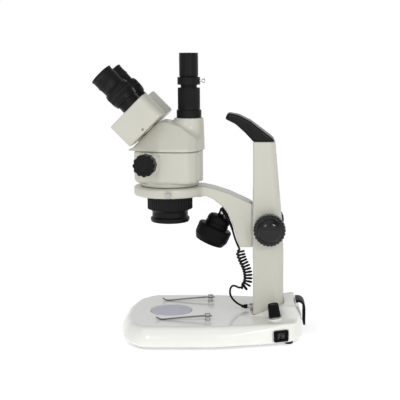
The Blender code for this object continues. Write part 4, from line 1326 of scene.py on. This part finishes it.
@dataclass
class Base:
    """The base casting and what is set into it."""

    bottom: float = 5.0
    top: float = 33.0
    optic: float = -120.0
    glass_radius: float = 30.0
    glass_gap: float = 0.3
    hump_top: float = 50.0
    hump_rear: float = 67.5
    hump_edge: float = 2.0
    dimmer_at: Row = (31.0, -52.0, 36.2)
    dimmer_boss: Row = (10.5, 31.5, 4.0)
    clip_at: Row = (-64.4, 53.5)
    switch_turn: float = 20.2
    switch_z: float = 16.0
    inlet_at: Row = (68.0, 36.0, 15.5)
    inlet_half: Row = (7.0, 10.5, 6.3)
    underside: Row = (7.5, 7.6)
    wall: Rows = ((-190, 25, 60), (-181, 72, 40), (-157, 101, 30), (-54, 101, 60), (20, 85.5, 60), (57, 72, 18),
                   (70, 52, 16))
    shoulder: Rows = ((-190, 25, 60), (-181, 72, 40), (-157, 101, 30), (-54, 101, 60), (27, 89.5, 60), (62, 85, 18),
                       (78, 60, 16))
    pillar: Pillar = field(default_factory=Pillar)
    slope_line: Rows = ((5.0, 0.0), (13.0, 0.0), (22, 2.5), (30, 7.5), (33, 11.5), (50, 40.0))
    slope_radii: Row = (0, 30, 30, 16, 6, 0)
    switch_recesses: Rows = ((39.3, -79.5, 12, 3, 8.5), (38.7, -76, 9.2, 7, 6.5))
    foot_profile: Rows = ((0, 4.7), (6.5, 4.7), (6.4, 3.2), (6.0, 0.9), (5.2, 0), (3.4, 0), (3.0, 0.8), (0, 0.8))
    glass_profile: Rows = ((0, 33.2), (29.3, 33.2), (30.0, 32.5), (30.0, 30.3), (0, 30.3))
    post_profile: Rows = ((0, 43.0), (3.0, 43.0), (4.3, 42.3), (4.3, 40.3), (3.8, 39.6), (1.5, 39.6),
                          (1.5, 38.1), (3.6, 38.2), (3.6, 34.2), (4.4, 33.9), (4.4, 33.3), (1.5, 33.3),
                          (1.5, 29.0), (0, 29.0))
    clip_line: Rows = ((6.2, 0, 38.8), (0, 0, 38.8), (-9, 0, 38.7), (-35, 0, 36.6), (-58, 0, 34.4),
                       (-65, 0, 34.0), (-69, 0, 34.9), (-73, 0, 37.4))
    mark_ring: Rows = ((1.5, 0.12), (1.5, -0.3), (1.1, -0.3), (1.1, 0.12))
    mark_bar: Rows = ((-0.25, -1.5), (0.25, -1.5), (0.25, 1.5), (-0.25, 1.5))
    collar_profile: Rows = ((9.0, 1.6), (9.6, 0.9), (9.6, 0.3), (3.2, 0.3), (3.2, 1.6))
    dimmer_profile: Rows = ((0, 19.2), (5.6, 19.2), (6.0, 19.7), (7.0, 19.7), (7.6, 19.0), (8.3, 4.2),
                            (8.6, 3.2), (8.6, 2.2), (0, 2.2))
    pin_profile: Rows = ((0, 7.6), (0.9, 7.2), (1.2, 6.4), (1.2, -0.6), (0, -0.6))
    hook_line: Rows = ((74.7, 0, 15), (74.7, 0, 28), (74.6, 0, 40), (73.2, 0, 45.6), (70.4, 0, 48.7),
                       (66.4, 0, 50.0), (62.0, 0, 49.4))
    jack_collar: Rows = ((0, 0), (5.3, 0), (5.3, 0.9), (0, 0.9))
    jack_barrel: Rows = ((0, 8.0), (2.2, 8.0), (2.6, 7.6), (2.6, 4.0), (0, 4.0))

    def hump(self, x: Array, y: Array, z: Array) -> Array:
        """The rise round the pillar's foot: sloping planes met with soft edges.

        Args:
            x: the sample points' x.
            y: the sample points' y.
            z: the sample points' z.

        Returns:
            The field, less than zero inside.
        """
        side = np.abs(y)
        ramp = (z - 31 - 0.3725 * (x + 6)) / 1.067
        rear = (z - 50 + 1.4286 * (x - 60)) / 1.744
        flank = -0.377 * x + 0.6702 * side + 0.6393 * z - 39.5
        front = smooth_max(ramp, z - self.hump_top, 3.0)
        back = smooth_max(rear, x - self.hump_rear, self.hump_edge)
        return smooth_max(smooth_max(front, back, self.hump_edge), flank, self.hump_edge)

    def casting(self) -> Skin:
        """The base: an outer wall, a sloping shoulder that cuts it off, the hump and the pockets.

        The wall's outline draws in to the rear more than the shoulder's does, so the
        crease between them climbs towards the rear.

        Returns:
            The skin, in the object's frame.
        """
        block = Block((-190, -101, 5), (70, 101, 50), 1.35)
        x, y, z = block.axes()
        wall, shoulder = (outline_field(mirrored(rows), x, y, 8) for rows in (self.wall, self.shoulder))
        foot = np.interp(z, (5.0, 9.0, 12.0), (4.5, 0.9, 0.0))
        line = softened(np.array(self.slope_line), np.array(self.slope_radii), 8, closed=False)
        outer = smooth_max(wall + foot, shoulder + np.interp(z, line[:, 0], line[:, 1]), 0.9)
        field_at = smooth_max(outer, z - self.top, 1.6)
        field_at = smooth_max(smooth_min(field_at, self.hump(x, y, z), 5.0), wall + foot, 1.0)
        dial_x, dial_y, _ = self.dimmer_at
        radius, foot_z, height = self.dimmer_boss
        lean = -0.139 * (x - dial_x) + 0.99 * (z - foot_z)
        boss = np.maximum(np.hypot(x - dial_x, y - dial_y) - radius, lean - height)
        field_at = smooth_min(field_at, np.maximum(boss, 20 - z), 1.2)
        field_at = np.maximum(field_at, self.bottom - z)
        reach = np.hypot(x - self.optic, y)
        for radius, low in ((27.0, 20.0), (self.glass_radius + self.glass_gap, 30.0)):
            field_at = smooth_max(field_at, -np.maximum(reach - radius, low - z), 0.6)
        pocket = self.pillar.section(x, y, z) - self.glass_gap
        field_at = smooth_max(field_at, -np.maximum(pocket, self.top - z), 0.5)
        angle = math.radians(self.switch_turn)
        for sx, sy, *half in self.switch_recesses:
            u = (x - sx) * math.cos(angle) + (y - sy) * math.sin(angle)
            v = (y - sy) * math.cos(angle) - (x - sx) * math.sin(angle)
            field_at = np.maximum(field_at, -crate(u, v, z - self.switch_z, half))
        inlet_x, inlet_y, inlet_z = self.inlet_at
        field_at = np.maximum(field_at, -crate(x - inlet_x, y - inlet_y, z - inlet_z, self.inlet_half))
        rim, ceiling = self.underside
        under = np.maximum(wall + rim, z - ceiling)
        return block.skin(np.maximum(field_at, -under)).placed(STAND)

    def feet(self, shop: Workshop) -> None:
        """Four rubber feet, each a short cone with a hollow ring on its underside.

        Args:
            shop: what the pieces are installed through.
        """
        foot = turned(self.foot_profile, 0.5, 48)
        for side in Side:
            for end, x, y in (("front", -155, 72), ("rear", 50.5, 58)):
                node = f"foot_{end}_{side.word}"
                shop.install(node + "_rubber", foot.placed(STAND.inner((x, side.value * y, 0))), RUBBER, node)

    def stage(self, shop: Workshop) -> None:
        """The frosted stage plate with its ground edge, and the lamp under it.

        Args:
            shop: what the pieces are installed through.
        """
        at = STAND.inner((self.optic, 0, 0))
        glass = turned(self.glass_profile, 0.5, 128)
        shop.install("stage_glass", glass.placed(at), DIFFUSER, "stage_plate")
        shop.dress("stage_lamp", SLIDE_METAL)
        shop.dress("driver_board", Circuit())
        shop.dress("bottom_plate", STEEL_SHEET)

    def clips(self, shop: Workshop) -> None:
        """Two sprung clips with turned-up toes, each held by a knurled post.

        Args:
            shop: what the pieces are installed through.
        """
        for side in Side:
            at = STAND.inner((self.clip_at[0], side.value * self.clip_at[1], 0))
            post = turned(self.post_profile, 0.25, 72, flutes=[Flutes(18, 0.35, 40.4, 42.4)])
            shop.install(f"clip_post_{side.word}_turned", post.placed(at), chromed(at), f"clip_post_{side.word}")
            line = wave(np.array(self.clip_line, float), 10)
            width = np.interp(line[:, 0], (-73, -60, -9, 0, 6.2), (2.9, 2.8, 3.3, 3.9, 2.6))[:, None]
            across = np.broadcast_to(np.array([0.0, 1.0, 0.0]), line.shape)
            leaf = swept(line, across, flat_section(width, 0.6, (0.3, 0.6)), 28)
            shop.install(f"stage_clip_{side.word}_spring", leaf.placed(at), chromed(at, (0, 1, 0), 0.22, 0.14),
                         f"stage_clip_{side.word}")

    def controls(self, shop: Workshop) -> None:
        """The rocker switch, the dimmer, the power inlet, the hook and the lamp's jack.

        Args:
            shop: what the pieces are installed through.
        """
        shop.install("switch_frame", shop.recast("switch_bezel", 0.45), SATIN_BLACK, "switch_bezel")
        shop.install("switch_key", shop.recast("switch_rocker", 0.35), GLOSS_BLACK, "switch_rocker")
        switch = STAND.inner((39.0, -77.5, self.switch_z), turn("z", self.switch_turn) @ turn("x", 90))
        ring = turned(self.mark_ring, 0.02, 40, ring=True)
        bar = plate(softened(np.array(self.mark_bar), np.full(4, 0.1)),
                    -0.3, 0.12, 0.05)
        marks = ring.placed(switch.inner((3.3, 0, 0.58), turn("y", -13.6))) + bar.placed(
            switch.inner((-3.2, 0, 1.46), turn("y", 27.0)))
        shop.install("switch_marks", marks, SWITCH_WHITE, body="switch")

        dimmer = STAND.inner(self.dimmer_at, turn("y", -8))
        collar = turned(self.collar_profile, 0.3, 72, ring=True)
        shop.install("dimmer_ring", collar.placed(dimmer), chromed(dimmer, tone=0.35), "dimmer_collar")
        knob = turned(self.dimmer_profile, 0.4, 144, flutes=[Flutes(24, 0.45, 4.4, 18.8)])
        shop.install("dimmer_cap", knob.placed(dimmer), SATIN_BLACK, "dimmer_knob")

        shop.install("inlet_socket", shop.recast("power_inlet", 0.5), SATIN_BLACK, "power_inlet")
        pin = turned(self.pin_profile, 0.2, 24)
        inlet = STAND.inner((64.2, *self.inlet_at[1:]), turn("y", 90))
        pins = pin.placed(inlet.inner((0, -3.4, 0))) + pin.placed(inlet.inner((0, 3.4, 0)))
        shop.install("inlet_pins", pins, bare_steel(inlet), body="stand")
        line = wave(np.array(self.hook_line, float), 10)
        across = np.broadcast_to(np.array([0.0, 1.0, 0.0]), line.shape)
        hook = swept(line, across, flat_section(17, 1.8, (0.2, 0.4)), 40)
        shop.install("hook_moulding", hook.placed(STAND), SATIN_BLACK, "cord_hook")

        jack = STAND.inner((-0.3, 0, 38.5), turn("y", -90))
        angle = np.arange(6) * np.pi / 3
        nut = plate(softened(np.stack([4.6 * np.cos(angle), 4.6 * np.sin(angle)], axis=1), np.full(6, 0.5), 3),
                    0.9, 4.6, 0.4)
        collar = turned(self.jack_collar, 0.2, 48)
        barrel = turned(self.jack_barrel, 0.15, 48)
        shop.install("jack_nut", (nut + collar + barrel).placed(jack), chromed(jack), "lamp_jack")

    def build(self, shop: Workshop) -> None:
        """Build and dress the whole base.

        Args:
            shop: what the pieces are installed through.
        """
        shop.install("base_shell", self.casting(), OFF_WHITE, "base_casting")
        self.feet(shop)
        self.stage(shop)
        self.clips(shop)
        self.controls(shop)


# ------------------------------------------------------------ focus drive

@dataclass
class FocusDrive:
    """The coarse focus: two glossy knobs on a shaft, and the tension collar."""

    at: Row = (23.4, 0.0, 160.4)
    knob_flutes: int = 26
    collar_flutes: int = 36
    collar_y: float = -34.0
    knob_profile: Rows = ((0, 60.4), (7, 60.0), (12.5, 58.6), (16.4, 56.0), (17.6, 53.6), (18.6, 53.2),
                          (19.8, 53.2), (21.9, 51.6), (23.0, 49.6), (23.0, 40.0), (22.0, 38.3), (4.3, 38.3),
                          (4.3, 50.0), (0, 50.0))
    knob_soft: Row = (0, 12, 12, 8, 0.5, 0.5, 0.8, 1.5, 1.5, 1.0, 0.8, 0.4, 0.4, 0)
    collar_profile: Rows = ((20.5, 3.5), (20.5, -3.5), (4.4, -3.5), (4.4, 3.5))

    def build(self, shop: Workshop) -> None:
        """Knobs with a fluted rim round a domed face; a fluted collar behind the near one.

        Args:
            shop: what the pieces are installed through.
        """
        place = STAND.inner(self.at)
        for side in Side:
            out = place.inner((0, 0, 0), OUTWARD[side])
            knob = turned(self.knob_profile, self.knob_soft, self.knob_flutes * 8,
                          flutes=[Flutes(self.knob_flutes, 1.0, 39.2, 53.4, 0.7, 2.2)])
            shop.install(f"focus_knob_{side.word}_turned", knob.placed(out), GLOSS_BLACK, f"focus_knob_{side.word}")
        collar = turned(self.collar_profile, 0.6, self.collar_flutes * 6, ring=True,
                        flutes=[Flutes(self.collar_flutes, 0.6, -3.0, 3.0)])
        behind = place.inner((0, self.collar_y, 0), OUTWARD[Side.NEAR])
        shop.install("tension_ring", collar.placed(behind), SATIN_BLACK,
                     "tension_collar")
        shop.dress("focus_shaft", bare_steel(place, (0, 1, 0)))
        shop.dress("focus_pinion", BRASS_RACK)


# -------------------------------------------------------------------- arm

@dataclass
class Arm:
    """The arm that carries the head's ring, its slide and its clamp screw."""

    ring_at: float = -120.0
    ring_radius: float = 51.5
    bore: float = 38.4
    low: float = 205.0
    high: float = 219.2
    half_width: float = 20.0
    screw_at: Row = (-118.0, 212.0)
    side: Rows = ((-100, 206.5, 0), (-100, 218.5, 0), (-75, 219.0, 20), (-61, 217.7, 60), (-34, 209, 60),
                   (-6, 196, 40), (-0.7, 192.5, 1), (-0.7, 130.5, 1), (-19.5, 130.5, 4), (-23.5, 143, 40),
                   (-28, 160.5, 60), (-34.5, 176.7, 60), (-42, 188.5, 40), (-56.7, 200.5, 25), (-70, 206.5, 15))
    screw_profile: Rows = ((0, 57.3), (2.6, 57.3), (3.5, 56.7), (3.5, 54.0), (2.0, 54.0), (2.0, 38.9), (0, 38.9))

    def casting(self) -> Skin:
        """The curved arm and the ring, met with a fillet; then the ring's bore and screw boss.

        Returns:
            The skin, in the object's frame.
        """
        block = Block((-171.5, -54, 130), (-0.7, 51.5, 219.5), 1.15)
        x, y, z = block.axes()
        web = smooth_max(outline_field(self.side, x, z, 8), np.abs(y) - self.half_width, 2.4)
        reach = np.hypot(x - self.ring_at, y)
        middle, half = (self.low + self.high) / 2, (self.high - self.low) / 2
        ring = smooth_max(reach - self.ring_radius, np.abs(z - middle) - half, 5.0)
        field_at = smooth_min(web, ring, 7.0)
        field_at = smooth_max(field_at, z - self.high, 1.2)
        screw_x, screw_z = self.screw_at
        boss = np.maximum(np.hypot(x - screw_x, z - screw_z) - 5.0, np.abs(y + 49.5) - 4.0)
        field_at = smooth_min(field_at, boss, 1.5)
        return block.skin(smooth_max(field_at, self.bore - reach, 0.8)).placed(STAND)

    def build(self, shop: Workshop) -> None:
        """Build and dress the arm.

        Args:
            shop: what the pieces are installed through.
        """
        shop.install("arm_body", self.casting(), CREAM, "arm_casting")
        shop.dress("arm_slide", SLIDE_METAL)
        shop.dress("focus_rack", BRASS_RACK)
        screw_x, screw_z = self.screw_at
        at = STAND.inner((screw_x, 0, screw_z), OUTWARD[Side.NEAR])
        screw = turned(self.screw_profile, 0.2, 72, flutes=[Flutes(18, 0.3, 54.2, 56.9)])
        shop.install("head_screw_turned", screw.placed(at), chromed(at, tone=0.45), "head_clamp_screw")


# ------------------------------------------------------------------- lamp

@dataclass
class Lamp:
    """The incident lamp under the arm and its hinge bracket."""

    hinge: Row = (-44.5, 0.0, 179.0)
    tilt: float = 24.0
    drop: float = 48.0
    shell_profile: Rows = ((7, 42.5), (11.0, 42.2), (14.6, 40.6), (16.4, 37.5), (17.0, 33.0), (16.2, 32.4),
                           (16.2, 31.2), (17.0, 30.6), (17.3, 25.5), (23.5, 25), (25, 23), (24.8, 12.0),
                           (24.6, 8), (21.2, 1.0), (20.5, 0), (18.6, 0), (18.6, 6), (15, 34), (7, 38))
    shell_soft: Row = (0.5, 1, 3, 3, 0.5, 0.2, 0.2, 0.4, 1.5, 1.5, 1.5, 3, 3, 2, 0.4, 0.4, 0.5, 1, 0.5)
    cap_profile: Rows = ((0, 43.0), (5.4, 43.0), (7.4, 42.2), (7.4, 36), (0, 36))
    lug_outline: Rows = ((-5, 40), (5, 40), (4, 52), (-4, 52))
    lug_radii: Row = (1, 1, 3.9, 3.9)
    lens_profile: Rows = ((0, 5.2), (18.2, 4.6), (18.2, 2.0), (12, 1.0), (0, 0.6))
    lens_soft: Row = (0, 0.4, 0.4, 8, 0)
    pin_profile: Rows = ((0, 8.4), (1.6, 8.4), (2.6, 7.9), (2.8, 7.0), (0, 7.0))

    def build(self, shop: Workshop) -> None:
        """Build and dress the lamp.

        Args:
            shop: what the pieces are installed through.
        """
        shop.install("lamp_hinge_bracket", shop.recast("lamp_bracket", 0.5, 2), SATIN_BLACK, "lamp_bracket")
        frame_at = STAND.inner(self.hinge, turn("y", self.tilt))
        rim = frame_at.inner((0, 0, -self.drop))
        shell = turned(self.shell_profile, self.shell_soft, 144,
                       ring=True, flutes=[Flutes(36, 0.5, 9.0, 23.0, 1.0, 1.0)])
        cap = turned(self.cap_profile, 0.8, 64)
        lug_side = softened(np.array(self.lug_outline, float), np.array(self.lug_radii), 8)
        lug = plate(lug_side, -3.8, 3.8, 0.6).placed(Place((0, 0, 0), turn("x", 90)))
        shop.install("lamp_shell", (shell + cap + lug).placed(rim), SATIN_BLACK, "lamp_housing")
        lens = turned(self.lens_profile, self.lens_soft, 96)
        shop.install("lamp_window", lens.placed(rim), LAMP_GLASS, "lamp_lens")
        pin = turned(self.pin_profile, 0.3, 40)
        for side in Side:
            at = STAND.inner(self.hinge, OUTWARD[side])
            shop.install(f"hinge_screw_{side.word}", pin.placed(at), bare_steel(at), body="arm")


# ------------------------------------------------------------------- head

@dataclass
class Head:
    """The zoom head: lower and upper housing, objective, zoom drive."""

    seam: float = 270.0
    column_x: float = 29.0
    column_top: float = 316.0
    seam_gap: float = 0.3
    flanks: Rows = ((-8, 45), (32, 43), (45, 29), (45, 0))
    softness: Row = (6.0, 1.8, 4.0, 5.0)
    knob_flutes: int = 12
    barrel_ribs: int = 48
    zoom: Row = (-25.5, 253.5)
    roof: Rows = ((-60, 316), (-30, 314), (-12, 312.4), (0, 311.2), (16, 306.4), (29.5, 298.4), (41.6, 289.6),
                   (51, 279.0), (60, 266))
    skirts: Rows = ((41.5, 219.6, 226.0), (38.0, 204.4, 220.0))
    barrel_profile: Rows = ((30.6, 212), (30.6, 204.1), (32.5, 204.1), (32.5, 185), (28.4, 184.2), (25.7, 180.5),
                            (25.7, 174), (28.0, 171.8), (28.2, 169.8), (27.6, 167), (26.6, 166), (25.0, 166),
                            (24.6, 168.4), (22.4, 168.4), (22.4, 200), (26, 204), (26, 212))
    barrel_soft: Row = (0.3, 0.3, 0.6, 0.8, 0.6, 1.5, 1.0, 0.8, 0.8, 0.8, 0.3, 0.3, 0.3, 0.3, 0.5, 0.5, 0.3)
    lens_profile: Rows = ((0, 177), (12, 176.2), (21.8, 174), (21.8, 171.2), (12, 169.2), (0, 168.6))
    lens_soft: Row = (0, 8, 0.4, 0.4, 10, 0)
    knob_profile: Rows = ((0, 65.9), (9.6, 65.9), (10.4, 66.8), (13.6, 66.8), (15.8, 65.0), (15.8, 49.2),
                          (14.6, 47.8), (3.4, 47.8), (3.4, 62), (0, 62))
    knob_soft: Row = (0, 0.4, 0.4, 1.2, 1.2, 1.0, 0.6, 0.3, 0.3, 0)

    def plan(self, front: float, x: Array, y: Array, across: Array | float = 1.0) -> Array:
        """How far a point is outside the head's plan: a narrow front, flat flanks, a narrow rear.

        Each wall is a plane; across squeezes the plan sideways, so that the walls lean in.

        Args:
            front: where the narrow front wall is along x.
            x: the sample points' x.
            y: the sample points' y.
            across: how wide the plan is, as a share of its full width.

        Returns:
            The distances, less than zero inside.
        """
        side = np.abs(y) / across
        corners = np.array([(front, 0), (front, 25), *self.flanks], float)
        walls = []
        for (ax, ay), (bx, by) in zip(corners, corners[1:]):
            nx, ny = ay - by, bx - ax
            scale = np.sqrt(nx * nx + (ny / across) ** 2)
            walls.append((nx * (x - ax) + ny * (side - ay)) / scale)
        field_at = walls[0]
        for wall, soft in zip(walls[1:], self.softness):
            field_at = smooth_max(field_at, wall, soft)
        return field_at

    def lower(self) -> Skin:
        """The lower housing with its skirt, the strip at the rear and the zoom bosses.

        Returns:
            The skin, in the object's frame.
        """
        block = Block((-48, -48, 204), (49, 48, 270), 1.05)
        x, y, z = block.axes()
        draw = np.interp(z, (224.5, 226.5, 229.5, 268.6, 268.7), (3.5, 1.4, 0.0, 0.0, 0.9))
        field_at = smooth_max(self.plan(-47.5, x, y) + draw, 224.5 - z, 1.2)
        strip = np.maximum(np.hypot(x - self.column_x, y) - 19.5, 226.0 - z)
        field_at = smooth_min(field_at, strip, 1.5)
        for radius, low, high in self.skirts:
            skirt = smooth_max(np.hypot(x, y) - radius, np.maximum(low - z, z - high), 0.8)
            field_at = smooth_min(field_at, skirt, 1.2)
        zx, zz = self.zoom
        boss = smooth_max(np.hypot(x - zx, z - zz) - 16.8, np.abs(y) - 47.5, 1.6)
        field_at = smooth_min(field_at, boss, 1.4)
        field_at = np.maximum(field_at, z - (self.seam - self.seam_gap))
        bore = np.maximum(np.hypot(x, y) - 31.0, z - 232.0)
        return block.skin(np.maximum(field_at, -bore)).placed(HEAD)

    def upper(self) -> Skin:
        """The upper housing: leaning walls under an inclined face and a rounded roof, and the column.

        Returns:
            The skin, in the object's frame.
        """
        block = Block((-57, -47, 270), (52, 47, 316.2), 1.0)
        x, y, z = block.axes()
        across = np.interp(z, (270.0, 274.0, 318.0), (1.0, 1.0, 0.45))
        walls = self.plan(-55.0, x, y, across)
        points = wave(np.array(self.roof, float), 8)
        height = np.interp(x, points[:, 0], points[:, 1])
        slope = np.interp(x, points[:-1, 0], np.diff(points[:, 1]) / np.diff(points[:, 0]))
        roof = (z - height) / np.sqrt(1 + slope * slope)
        face = (z - x - 323.0) / math.sqrt(2.0)
        field_at = smooth_max(walls, smooth_max(roof, face, 3.0), 2.2)
        band = smooth_max(self.plan(-56.0, x, y) - 0.4, z - (self.seam + 2.2), 0.9)
        band = np.maximum(band, (z - x - 326.6) / math.sqrt(2.0))
        field_at = smooth_min(field_at, band, 0.9)
        radius = np.interp(z, (271.0, 300.0, 315.0, 316.0), (21.4, 21.2, 20.6, 19.7))
        column = smooth_max(np.hypot(x - self.column_x, y) - radius, z - self.column_top, 0.8)
        field_at = smooth_min(field_at, column, 9.0)
        field_at = np.maximum(np.maximum(field_at, self.seam + self.seam_gap - z), z - self.column_top)
        path = np.maximum(np.hypot(x - self.column_x, y) - 9.9, 296.0 - z)
        return block.skin(np.maximum(field_at, -path)).placed(HEAD)

    def objective(self, shop: Workshop) -> None:
        """The ribbed objective housing with its flared lip, and the lens.

        Args:
            shop: what the pieces are installed through.
        """
        barrel = turned(self.barrel_profile, self.barrel_soft,
                        self.barrel_ribs * 6, ring=True, flutes=[Flutes(self.barrel_ribs, 0.9, 185.8, 203.4, 0.6)])
        shop.install("objective_shell", barrel.placed(HEAD), anodised(HEAD), "objective_barrel")
        lens = turned(self.lens_profile, self.lens_soft, 96)
        shop.install("objective_glass", lens.placed(HEAD), CoatedLens(), "objective_lens")

    def zoom_drive(self, shop: Workshop) -> None:
        """Scalloped zoom knobs with a dished face.

        Args:
            shop: what the pieces are installed through.
        """
        x, z = self.zoom
        for side in Side:
            at = HEAD.inner((x, 0, z), OUTWARD[side])
            knob = turned(self.knob_profile, self.knob_soft, self.knob_flutes * 14,
                          flutes=[Flutes(self.knob_flutes, 1.5, 48.0, 66.6, 1.6, 1.2)])
            shop.install(f"zoom_knob_{side.word}_moulded", knob.placed(at), KNOB_BLACK,
                         f"zoom_knob_{side.word}")
        shop.dress("zoom_shaft", bare_steel(HEAD.inner((x, 0, z)), (0, 1, 0)))
        shop.dress("zoom_lens_carriage", SLIDE_METAL)

    def build(self, shop: Workshop) -> None:
        """Build and dress the head.

        Args:
            shop: what the pieces are installed through.
        """
        shop.install("head_lower_casting", self.lower(), CREAM, "head_lower_housing")
        shop.install("head_upper_casting", self.upper(), CREAM, "head_upper_housing")
        self.objective(shop)
        self.zoom_drive(shop)


@dataclass
class CameraTube:
    """The third tube: a ribbed base tube, the clamp ring with its screw and the sleeve."""

    x: float = 29.0
    base_profile: Rows = ((11.7, 362.4), (11.7, 358.4), (15.8, 358.4), (15.8, 327.6), (17.1, 327.2),
                          (17.7, 326.4), (17.7, 316.3), (9.6, 316.3), (9.6, 362.4))
    clamp_profile: Rows = ((16.2, 373.4), (16.2, 362.7), (9.6, 362.7), (9.6, 373.4))
    sleeve_profile: Rows = ((13.5, 407.3), (13.5, 404.8), (13.2, 404.4), (13.2, 403.8), (13.5, 403.4),
                            (13.5, 376), (13.0, 373.7), (11.6, 373.7), (11.6, 407.3))
    screw_profile: Rows = ((0, 23.4), (2.4, 23.4), (3.2, 22.8), (3.2, 19.4), (1.3, 19.4), (1.3, 11.5), (0, 11.5))

    def build(self, shop: Workshop) -> None:
        """Build and dress the tube.

        Args:
            shop: what the pieces are installed through.
        """
        at = HEAD.inner((self.x, 0, 0))
        lower = turned(self.base_profile, 0.4, 240, ring=True,
                       flutes=[Flutes(60, 0.3, 329.5, 356.5)])
        shop.install("camera_base_turned", lower.placed(at), anodised(at), "camera_base_tube")
        clamp = turned(self.clamp_profile, 0.6, 96, ring=True)
        shop.install("camera_ring_turned", clamp.placed(at), anodised(at, roughness=0.3), "camera_clamp_ring")
        sleeve = turned(self.sleeve_profile, 0.25, 96, ring=True)
        shop.install("camera_sleeve_turned", sleeve.placed(at), anodised(at), "camera_sleeve")
        screw_at = HEAD.inner((self.x, 0, 368), turn("y", 90))
        screw = turned(self.screw_profile, 0.2, 64, flutes=[Flutes(16, 0.3, 19.6, 23.0)])
        shop.install("camera_screw_turned", screw.placed(screw_at), chromed(screw_at), "camera_clamp_screw")


@dataclass
class Eyepieces:
    """Two prism boxes on the inclined face, each with its tube, dioptre ring and eyepiece."""

    hinge: Row = (-25.7, 13.5, 299.8)
    thickness: float = 38.5
    tube: Row = (10.0, 19.0)
    plan: Rows = ((-31, 2, 8), (0, -13, 12), (30, 1, 12), (36.5, 16, 12), (32, 36.5, 16), (-31, 36.5, 4))
    tube_profile: Rows = ((15.6, 10.6), (15.6, 8.2), (15.1, 7.8), (15.1, 7.2), (15.6, 6.8), (15.6, 0.3),
                          (12.7, 0.3), (12.7, -8.2), (11.0, -8.2), (11.0, 10.6))
    ring_profile: Rows = ((17.2, 34.4), (18.1, 33.6), (19.2, 30), (19.0, 24), (18.7, 17), (17.2, 10.9),
                          (13.0, 10.9), (13.0, 34.4))
    ring_soft: Row = (0.5, 1, 1.2, 6, 1.5, 0.6, 0.3, 0.3)
    cup_profile: Rows = ((16.6, 62.4), (17.3, 61.8), (17.3, 60.4), (16.8, 59.6), (16.6, 55), (16.8, 48.6),
                         (17.3, 47.8), (17.3, 46.6), (16.5, 45.8), (16.1, 40), (16.0, 34.7), (12.6, 34.7),
                         (12.6, 11.2), (11.0, 11.2), (11.0, 52), (14.0, 58.6), (15.8, 62.4))
    cup_soft: Row = (0.3, 0.5, 0.5, 0.8, 4, 0.6, 0.5, 0.5, 0.6, 4, 0.4, 0.3, 0.3, 0.3, 1, 3, 0.3)
    lens_profile: Rows = ((0, 51.6), (5, 51.3), (10.7, 50), (10.7, 46), (0, 46))
    lens_soft: Row = (0, 6, 0.3, 0.3, 0)
    screw_profile: Rows = ((0, 0.02), (0.7, 0.02), (0.8, 0.16), (1.5, 0.16), (1.6, -0.6), (0, -0.6))

    def prism_box(self, side: Side) -> Skin:
        """The box: its plan carried along the tube, with soft edges, on a round turntable.

        Args:
            side: which of the two boxes.

        Returns:
            The skin, in the eyepiece's frame.
        """
        corners = np.array(self.plan, float)
        corners[:, 1] *= side.value
        low, high = sorted((-13.5 * side.value, 37 * side.value))
        block = Block((-31, low, -1.5), (37, high, self.thickness), 0.95)
        x, y, z = block.axes()
        plan = outline_field(corners, x, y, 10)
        half = self.thickness / 2
        box = smooth_max(plan, np.abs(z - half) - half, 2.2)
        disc = np.maximum(np.hypot(x, y) - 12.6, np.abs(z - 0.6) - 2.0)
        field_at = np.minimum(box, disc)
        bore = np.maximum(np.hypot(x - self.tube[0], y - side.value * self.tube[1]) - 13.0, 30.0 - z)
        return block.skin(np.maximum(field_at, -bore))

    def one(self, shop: Workshop, side: Side) -> None:
        """Everything on one side.

        Args:
            shop: what the pieces are installed through.
            side: which side.
        """
        x, y, z = self.hinge
        eye = HEAD.inner((x, side.value * y, z), turn("y", -45))
        word = side.word
        shop.install(f"prism_cover_{word}", self.prism_box(side).placed(eye), CREAM, f"prism_box_{word}")
        at = eye.inner((self.tube[0], side.value * self.tube[1], self.thickness))
        sleeve = turned(self.tube_profile, 0.25, 96, ring=True)
        shop.install(f"eye_tube_{word}_turned", sleeve.placed(at), anodised(at), f"eye_tube_{word}")
        ring = turned(self.ring_profile, self.ring_soft, 32 * 6, ring=True,
                      flutes=[Flutes(32, 0.8, 17.5, 30.2, 0.6, 1.0)])
        shop.install(f"dioptre_ring_{word}_turned", ring.placed(at), anodised(at, roughness=0.33),
                     f"dioptre_ring_{word}")
        cup = turned(self.cup_profile, self.cup_soft, 96, ring=True)
        shop.install(f"eyecup_{word}", cup.placed(at), CUP_RUBBER, f"eyepiece_{word}")
        lens = turned(self.lens_profile, self.lens_soft, 64)
        shop.install(f"eye_glass_{word}", lens.placed(at), CoatedLens(), f"eye_lens_{word}")
        screw_at = eye.inner((-0.2, side.value * 36.45, 4.2), OUTWARD[side])
        screw = turned(self.screw_profile, 0.05, 32)
        shop.install(f"grub_screw_{word}", screw.placed(screw_at), SATIN_BLACK, body=f"eye_{word}")

    def build(self, shop: Workshop) -> None:
        """Build and dress both sides."""
        for side in Side:
            self.one(shop, side)


# ------------------------------------------------------------------- main

def main() -> None:
    """Build the studio, the cord and every assembly."""
    logging.basicConfig(level=logging.INFO, format="%(name)s: %(message)s")
    studio = Studio()
    studio.camera()
    shop = Workshop(frame)
    CurlyCord().build(shop)
    for assembly in (Base(), Pillar(), FocusDrive(), Arm(), Lamp(), Head(), CameraTube(), Eyepieces()):
        assembly.build(shop)
    studio.lights()
    studio.floor()


if __name__ == "__main__":
    main()
